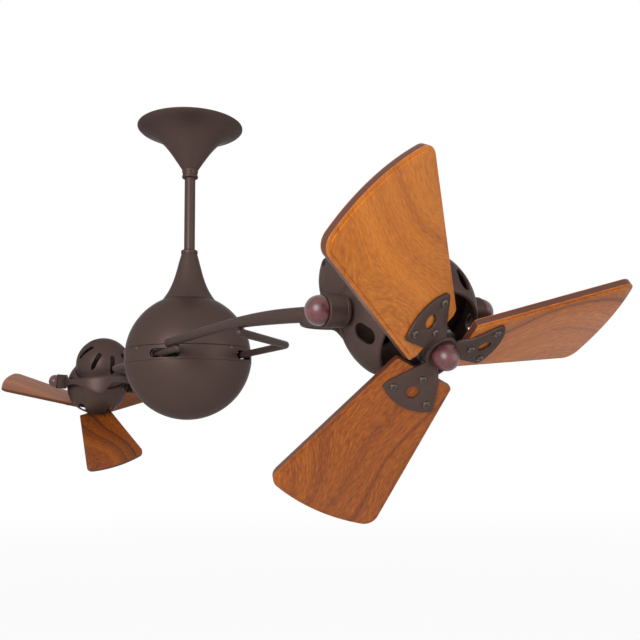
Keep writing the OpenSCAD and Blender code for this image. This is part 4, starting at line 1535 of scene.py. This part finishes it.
@dataclass
class Head:
    """Motor housing: a slotted rear dome and a vented front shell, in the head's frame."""

    side: Side
    front_r: float = 66.8
    front_mid: float = 5.2
    mouth_r: float = 52.5
    rear_r: float = 60.0
    rear_mid: float = 57.2
    wall: float = 2.5
    waist: float = 30.0
    ring_end: float = 12.0
    phase: float = -7.0
    rear_slots: int = 8
    slot_w: float = 10.5
    slot_in: float = 33.0
    slot_deep: float = 50.0
    vents: int = 6
    vent_phase: float = 5.0
    vent_l: float = 24.0
    vent_w: float = 17.0
    vent_mid: float = 25.0
    vent_deep: float = 30.0
    boss_r: float = 10.5
    pivot_hole: float = 5.1
    bearing_r: float = 11.05
    seat_r: float = 14.0
    plate_at: float = 10.0
    plate_t: float = 4.0
    port_r: float = 7.0
    ports_at: float = 32.0
    web_at: float = -66.0
    web_t: float = 4.0
    seat_at: float = -69.0
    screw_at: float = -19.0
    screw_phase: float = 45.0

    @property
    def mouth(self) -> float:
        """How far the mouth lies ahead of the tilt axis."""
        return self.front_mid + math.sqrt(self.front_r**2 - self.mouth_r**2)

    @property
    def stator_r(self) -> float:
        """Bore of the rear shell's neck."""
        return math.sqrt((self.rear_r - self.wall) ** 2 - (self.rear_mid - self.waist) ** 2) - 0.6

    def front(self) -> Workpiece:
        """Front shell with a rolled mouth, oval vents and stub bosses.

        Returns:
            The shell.
        """
        low = math.degrees(math.asin((0.1 - self.waist - self.front_mid) / self.front_r))
        high = math.degrees(math.acos(self.mouth_r / self.front_r))
        centre = (0.0, self.front_mid)
        outer = arc(self.front_r, low, high, 40, centre)
        inner = arc(self.front_r - self.wall, high + 1.2, low - 1.2, 40, centre)
        shell = Workpiece().turned(softened([*outer, *inner], 1.0, True), 144, True)
        back = -math.degrees(math.asin(self.vent_mid / self.front_r))
        out = spun(back, "Y") @ shifted(self.front_r + 18.0) @ spun(90.0, "Y")
        oval = pill(self.vent_l, self.vent_w, 14)
        vents = around(
            lambda: Workpiece().plate(oval, [], self.vent_deep),
            evenly(self.vents, 90.0 + self.vent_phase),
            shifted(z=self.front_mid) @ out,
        )
        shell = shell.minus(*vents).merged(0.12).eased(0.9, 3, 50.0, self._on_vent)
        return shell.joined(*[self._stub(hand) for hand in Hand])

    def _on_vent(self, point: Vector) -> bool:
        """Whether a point lies on the outer edge of a vent."""
        outside = (point - ALONG_Z * self.front_mid).length > self.front_r - 0.8
        return outside and 3.0 - self.waist < point.z < self.mouth - 1.5

    def _stub(self, hand: Hand) -> Workpiece:
        """Stub boss of the front shell that faces the fork.

        Args:
            hand: Which boss.

        Returns:
            The boss.
        """
        hole, low, high = self.pivot_hole, 60.5, 70.2
        profile = [(hole, low), (self.boss_r, low), (self.boss_r, high), (hole, high)]
        return Workpiece().turned(softened(profile, 0.9, True), 64, True).placed(hand.outwards)

    def bulkhead(self) -> Workpiece:
        """Plate across the front shell that holds the front bearing.

        Returns:
            The plate.
        """
        rim = math.sqrt((self.front_r - self.wall) ** 2 - 5.0**2) + 0.8
        ports = arc(self.ports_at, 30.0, 330.0, 5)
        holes = [circle(self.bearing_r, steps=32), *[circle(self.port_r, at) for at in ports]]
        disc = Workpiece().plate(circle(rim, steps=96), holes, self.plate_t)
        low, high = self.plate_at - self.plate_t, self.plate_at + 3.0
        hole, seat = self.bearing_r, self.seat_r
        boss = Workpiece().turned([(hole, low), (seat, low), (seat, high), (hole, high)], 48, True)
        return disc.placed(shifted(z=self.plate_at)).eased(0.5, 2).joined(boss)

    def rear(self) -> Workpiece:
        """Rear dome with radial slots and the ring that centres it in the front shell.

        Returns:
            The dome.
        """
        within = self.rear_r - self.wall
        ahead = self.rear_mid - self.waist
        centre = (0.0, -self.rear_mid)
        outer = arc(self.rear_r, -90.0, math.degrees(math.asin(ahead / self.rear_r)), 60, centre)
        inner = arc(within, math.degrees(math.asin(ahead / within)), -90.0, 60, centre)
        low = 0.2 - self.waist
        heights = [low - (self.ring_end + low) * share for share in shares(6)]
        fit_r = self.front_r - self.wall - 0.35
        ring = [(math.sqrt(fit_r**2 - (z - self.front_mid) ** 2), z) for z in heights]
        neck = [(self.stator_r, -self.ring_end), (self.stator_r, -self.waist)]
        shell = Workpiece().turned([*outer, *ring, *neck, *inner], 144)
        slot_out = self.rear_r - 2.0
        slot = pill(slot_out - self.slot_in, self.slot_w, 10)
        slots = around(
            lambda: Workpiece().plate(slot, [], self.slot_deep),
            evenly(self.rear_slots, 90.0 + self.phase),
            shifted((self.slot_in + slot_out) / 2, 0.0, -self.rear_mid - 12.0),
        )
        shell = shell.minus(*slots).merged(0.12)
        return shell.eased(0.8, 3, 50.0, self._on_rear_slot).joined(self._web())

    def _web(self) -> Workpiece:
        """Web across the rear dome with the seat of the rear bearing.

        Returns:
            The web.
        """
        rim = math.sqrt((self.rear_r - self.wall) ** 2 - (self.rear_mid + self.seat_at) ** 2) + 0.9
        top = self.web_at + self.web_t
        profile = [
            (self.bearing_r, self.seat_at),
            (self.seat_r, self.seat_at),
            (self.seat_r, self.web_at),
            (rim, self.web_at),
            (rim, top),
            (self.bearing_r, top),
        ]
        return Workpiece().turned(softened(profile, 0.5, True), 96, True)

    def _on_rear_slot(self, point: Vector) -> bool:
        """Whether a point lies on the outer edge of a rear slot."""
        outside = (point + ALONG_Z * self.rear_mid).length > self.rear_r - 0.8
        return outside and point.z < -self.rear_mid - 8.0

    def screws(self) -> Workpiece:
        """Screws round the waist that hold the shells together.

        Returns:
            The screws.
        """
        radius = math.sqrt(self.front_r**2 - (self.screw_at - self.front_mid) ** 2) - 1.0
        seat = shifted(radius, 0.0, self.screw_at) @ spun(90.0, "Y")
        turns = evenly(4, self.phase + self.screw_phase)
        return Workpiece().joined(*around(Fastener(3.5, 2.0).head, turns, seat))

    def build(self, finishes: Finishes) -> None:
        """Builds and hangs the pieces.

        Args:
            finishes: The fan's finishes.
        """
        tag = self.side.value
        place = head_place(self.side)
        body = f"head_{tag}"
        front = self.front().joined(self.bulkhead())
        front.into_fan(finishes, f"front_case_{tag}", place, body, f"front_shell_{tag}")
        self.rear().into_fan(finishes, f"rear_case_{tag}", place, body, f"rear_shell_{tag}")
        self.screws().into_fan(
            finishes, f"case_screws_{tag}", place, body, f"shell_screws_{tag}", "screw_bronze"
        )


@dataclass
class Propeller:
    """Bracket, blades, screws and finial of one head, in the frame of the rotor."""

    side: Side
    ahead: float = 71.0
    pitch: float = 18.0
    plate_t: float = 2.6
    hub_r: float = 17.0
    hub_h: float = 8.0
    hub_sink: float = 1.5
    shaft_r: float = 4.1
    lobe_out: float = 63.5
    lobe_half: float = 29.0
    corner: float = 5.0
    neck: float = 9.0
    bow: float = 6.5
    twist_from: float = 13.0
    twist_run: float = 15.0
    window_r: float = 6.6
    window_at: float = 46.0
    blade_t: float = 8.0
    tip_r: float = 203.0
    root: float = 25.0
    root_half: float = 33.0
    tip_half: float = 62.0
    wide_at: float = 0.92
    tip_corner: float = 13.0
    finial_r: float = 12.7
    finial_l: float = 19.0
    edge_w: float = 3.6
    edge_deep: float = 1.2
    # Tone of each blade's board, partly plank colour and partly painted light and shade.
    tones_and_painted_light: tuple[int, ...] = (2, 6, 4, 7, 5, 6)
    screw_at: tuple[Point2, Point2, Point2] = ((0.0, 30.6), (-19.8, 50.4), (19.8, 50.4))
    screw_hole: float = 2.1

    def _blade_frame(self, third: int) -> Matrix:
        """Place of one blade, its front against the bracket's back."""
        return rotor_place(self.side, third) @ shifted(z=self.ahead) @ spun(self.pitch, "Y")

    def _screw_holes(self) -> list[list[Point2]]:
        """Outlines of the screw holes of one blade."""
        return [circle(self.screw_hole, centre, 16) for centre in self.screw_at]

    def _blade_outline(self) -> list[Point2]:
        """Outline of a blade, root first, its tip corners tangent to its side and its end.

        Returns:
            The outline.
        """
        slope = (self.tip_half - self.root_half) / (self.tip_r * self.wide_at - self.root)
        lean = math.atan(slope)
        offset = self.root_half - slope * self.root - self.tip_corner / math.cos(lean)
        square = 1 + slope**2
        reach = (self.tip_r - self.tip_corner) ** 2
        under_root = (offset * slope) ** 2 - square * (offset**2 - reach)
        along = (math.sqrt(under_root) - offset * slope) / square
        across = offset + slope * along
        meet = math.degrees(math.atan2(along, across))
        right = [
            (self.root_half, self.root + 2.0),
            *arc(self.tip_corner, -math.degrees(lean), meet, 8, (across, along)),
            *arc(self.tip_r, meet, 90.0, 12)[1:-1],
        ]
        left = [(-x, y) for x, y in reversed(right)]
        root = self.root_half - 2.0
        return [(root, self.root), *right, (0.0, self.tip_r), *left, (-root, self.root)]

    def _face_outline(self) -> list[Point2]:
        """Outline of a blade's raised face, drawn in from the blade's own by the routed edge.

        Returns:
            The outline.
        """
        whole = [Vector(point) for point in self._blade_outline()]
        drawn = []
        for index, corner in enumerate(whole):
            ahead = whole[(index + 1) % len(whole)] - whole[index - 1]
            aside = Vector((-ahead.y, ahead.x)).normalized() * self.edge_w
            if corner.y < self.root + 3.0:
                aside = Vector((-math.copysign(self.edge_w, corner.x), 0.0))
            drawn.append(tuple(corner + aside))
        return drawn

    def _off_holes(self, point: Vector) -> bool:
        """Whether a point lies clear of the screw holes."""
        return all(math.dist(point.xy, centre) > self.screw_hole + 0.9 for centre in self.screw_at)

    def blade(self) -> Workpiece:
        """One wooden blade with a routed edge.

        Returns:
            The blade.
        """
        holes = self._screw_holes()
        board = Workpiece().plate(self._blade_outline(), holes, self.blade_t - self.edge_deep)
        board.eased(1.3, 4, 60.0, self._off_holes).placed(shifted(z=-self.edge_deep))
        face = Workpiece().plate(self._face_outline(), holes, self.edge_deep + 0.4)
        return board.joined(face.eased(0.8, 3, 60.0, self._off_holes))

    def _lobe_outline(self) -> list[Point2]:
        """Outline of one lobe of the bracket, its corners tangent to its sides and its end.

        Returns:
            The outline.
        """
        x = self.lobe_half - self.corner
        y = self.lobe_out - self.bow - self.corner
        start = Vector((self.neck, self.hub_r - 3.0))
        bow_r = (x**2 + self.bow**2) / (2 * self.bow)
        half = math.degrees(math.asin(x / bow_r))
        side = Vector((x, y)) - start
        lean = math.atan2(side.y, side.x) - math.asin(self.corner / side.length)
        corner = arc(self.corner, math.degrees(lean) - 90.0, 90.0 - half, 8, (x, y))
        centre = (0.0, y + self.bow - bow_r)
        right = [
            (self.neck, self.hub_r - 11.0),
            *[tuple(start.lerp(Vector(corner[0]), share)) for share in shares(12)[:-1]],
            *corner,
            *arc(bow_r + self.corner, 90.0 - half, 90.0, 10, centre)[1:-1],
        ]
        return [*right, (0.0, self.lobe_out), *[(-px, py) for px, py in reversed(right)]]

    def lobe(self) -> Workpiece:
        """One lobe with its round window and screw holes, its neck turned flat at the hub.

        Returns:
            The lobe.
        """
        window = circle(self.window_r, (0.0, self.window_at), 32)
        holes = [window, *self._screw_holes()]
        plate = Workpiece().plate(self._lobe_outline(), holes, self.plate_t)
        return plate.eased(0.55, 2, 50.0).bent(self._untwisted)

    def _untwisted(self, point: Vector) -> Vector:
        """Turns the neck of a lobe flat where it meets the hub.

        Args:
            point: A point of the flat lobe.

        Returns:
            Where it goes.
        """
        share = 1.0 - ease((point.y - self.twist_from) / self.twist_run)
        turned = spun(-self.pitch * share, "Y") @ point
        turned.z -= (self.hub_sink + 0.2) * share
        return turned

    def hub(self) -> Workpiece:
        """Round hub of the bracket, with a raised ring round its front.

        Returns:
            The hub.
        """
        back = self.ahead - self.plate_t - self.hub_h
        front = self.ahead - self.hub_sink
        profile = [
            (self.shaft_r, back),
            (self.hub_r, back),
            (self.hub_r, front - 0.8),
            (self.hub_r - 0.9, front + 0.7),
            (self.hub_r - 2.4, front + 0.7),
            (self.hub_r - 3.2, front),
            (self.shaft_r, front),
        ]
        return Workpiece().turned(softened(profile, 0.8, True), 96, True)

    def _plank(self, third: int) -> Matrix:
        """Where one blade lay in its plank.

        Args:
            third: Number of the blade.

        Returns:
            The place, with the blade's tone, partly painted light and shade, as its height.
        """
        number = third + (3 if self.side is Side.B else 0)
        height = SHADE_STEP * self.tones_and_painted_light[number] - SHADE_DROP
        return shifted(0.37 * number, 0.61 * number, height) @ TO_METRES

    def build(self, finishes: Finishes) -> None:
        """Builds and hangs the pieces.

        Args:
            finishes: The fan's finishes.
        """
        tag = self.side.value
        body = f"rotor_{tag}_body"
        whole = rotor_place(self.side)
        bracket = self.hub()
        screws = Workpiece()
        for third in range(3):
            place = self._blade_frame(third)
            local = whole.inverted() @ place
            bracket.joined(self.lobe().placed(local))
            for x, y in self.screw_at:
                screws.joined(Fastener(3.7, 1.7).head().placed(local @ shifted(x, y)))
            number = f"{tag}{third + 1}"
            self.blade().into_fan(
                finishes,
                f"blade_board_{number}",
                place @ shifted(z=-self.plate_t - GAP),
                body,
                f"blade_{number}",
                "blade_wood",
                self._plank(third),
            )
        cap = TurnedCap(self.finial_r, self.finial_l).cap()
        cap.placed(shifted(z=self.ahead - self.hub_sink + GAP))
        bracket.into_fan(finishes, f"blade_bracket_{tag}", whole, body, f"bracket_{tag}")
        screws.into_fan(
            finishes, f"blade_heads_{tag}", whole, body, f"blade_screws_{tag}", "screw_bronze"
        )
        cap.into_fan(finishes, f"finial_cap_{tag}", whole, body, f"finial_{tag}", "turned_wood")


# ---------------------------------------------------------------- studio


@dataclass
class Studio:
    """Pale floor, soft lamps and the camera at the photograph's angle."""

    camera_at: Point3 = (1.1995, -0.4386, -0.5165)
    heading: float = 150.10
    rise: float = 8.12
    roll: float = -0.89
    lens: float = 43.10
    floor_z: float = -1.25
    floor_half: float = 14.0
    floor_white: float = 0.93
    ambient: float = 0.27
    middle: Point3 = (0.0, 0.0, -0.4)

    def camera(self) -> None:
        """Places the camera."""
        data = bpy.data.cameras.new("view")
        data.lens = self.lens
        data.sensor_width = 36.0
        data.clip_start = 0.02
        camera = linked("view", data)
        turn = spun(self.heading - 90.0, "Z") @ spun(90.0 + self.rise, "X") @ spun(self.roll, "Z")
        camera.matrix_world = Matrix.Translation(self.camera_at) @ turn
        bpy.context.scene.camera = camera

    def floor(self) -> None:
        """Wide pale floor that shows white to the camera."""
        sheet = Workpiece()
        bmesh.ops.create_grid(sheet.bm, x_segments=1, y_segments=1, size=self.floor_half)
        floor = linked("floor", sheet.placed(shifted(z=self.floor_z)).off_bench("floor"))
        graph = Graph(bpy.data.materials.new("floor"))
        pale = {"Base Color": (0.86, 0.86, 0.86, 1.0), "Roughness": 0.9}
        paint = graph.node("ShaderNodeBsdfPrincipled", {}, pale)
        white = graph.node("ShaderNodeEmission", {}, {"Color": WHITE, "Strength": 1.0})
        place = {0: graph.object_coords()}
        reach = graph.node("ShaderNodeVectorMath", {"operation": "LENGTH"}, place, "Value")
        level = self.floor_white + reach.step(2.5, 7.0) * (1.0 - self.floor_white)
        mix = {0: graph.seen() * level, 1: paint, 2: white}
        graph.close(graph.node("ShaderNodeMixShader", {}, mix))
        floor.data.materials.append(graph.owner)

    def world(self) -> None:
        """White surroundings to the eye and in reflections, and a plain level of light."""
        graph = Graph(bpy.data.worlds.new("studio"))
        levels = {"Value": graph.seen(), "To Min": self.ambient, "To Max": 1.0}
        level = graph.node("ShaderNodeMapRange", {}, levels)
        back = graph.node("ShaderNodeBackground", {}, {"Color": WHITE, "Strength": level})
        graph.close(back, "ShaderNodeOutputWorld")
        bpy.context.scene.world = graph.owner

    def lamp(self, name: str, place: Point3, size: float, watts: float) -> None:
        """Hangs one soft square lamp that shines on the middle of the fan.

        Args:
            name: Name of the lamp.
            place: Where it hangs, in metres.
            size: Length of its side.
            watts: Its power.
        """
        data = bpy.data.lights.new(name, "AREA")
        data.size = size
        data.energy = watts
        way = Vector(self.middle) - Vector(place)
        facing = way.to_track_quat("-Z", "Y").to_matrix().to_4x4()
        linked(name, data).matrix_world = Matrix.Translation(place) @ facing

    def build(self) -> None:
        """Sets up the studio."""
        self.camera()
        self.floor()
        self.world()
        self.lamp("key", (1.8, -2.0, 0.1), 1.4, 56.0)
        self.lamp("fill", (2.4, 1.4, -0.2), 1.8, 16.0)
        self.lamp("back", (-2.0, 1.4, 1.2), 1.6, 3.0)
        bpy.context.scene.view_settings.view_transform = "Standard"


def main() -> None:
    """Builds the studio, the finishes and every piece."""
    logging.basicConfig(level=logging.INFO, format="%(message)s")
    Studio().build()
    finishes = Finishes()
    finishes.dress_nodes()
    Suspension().build(finishes)
    Ball().build(finishes)
    for side in Side:
        Arm(side).build(finishes)
        Fork(side).build(finishes)
        Head(side).build(finishes)
        Propeller(side).build(finishes)
        for hand in Hand:
            Knob(side, hand).build(finishes)


if __name__ == "__main__":
    main()
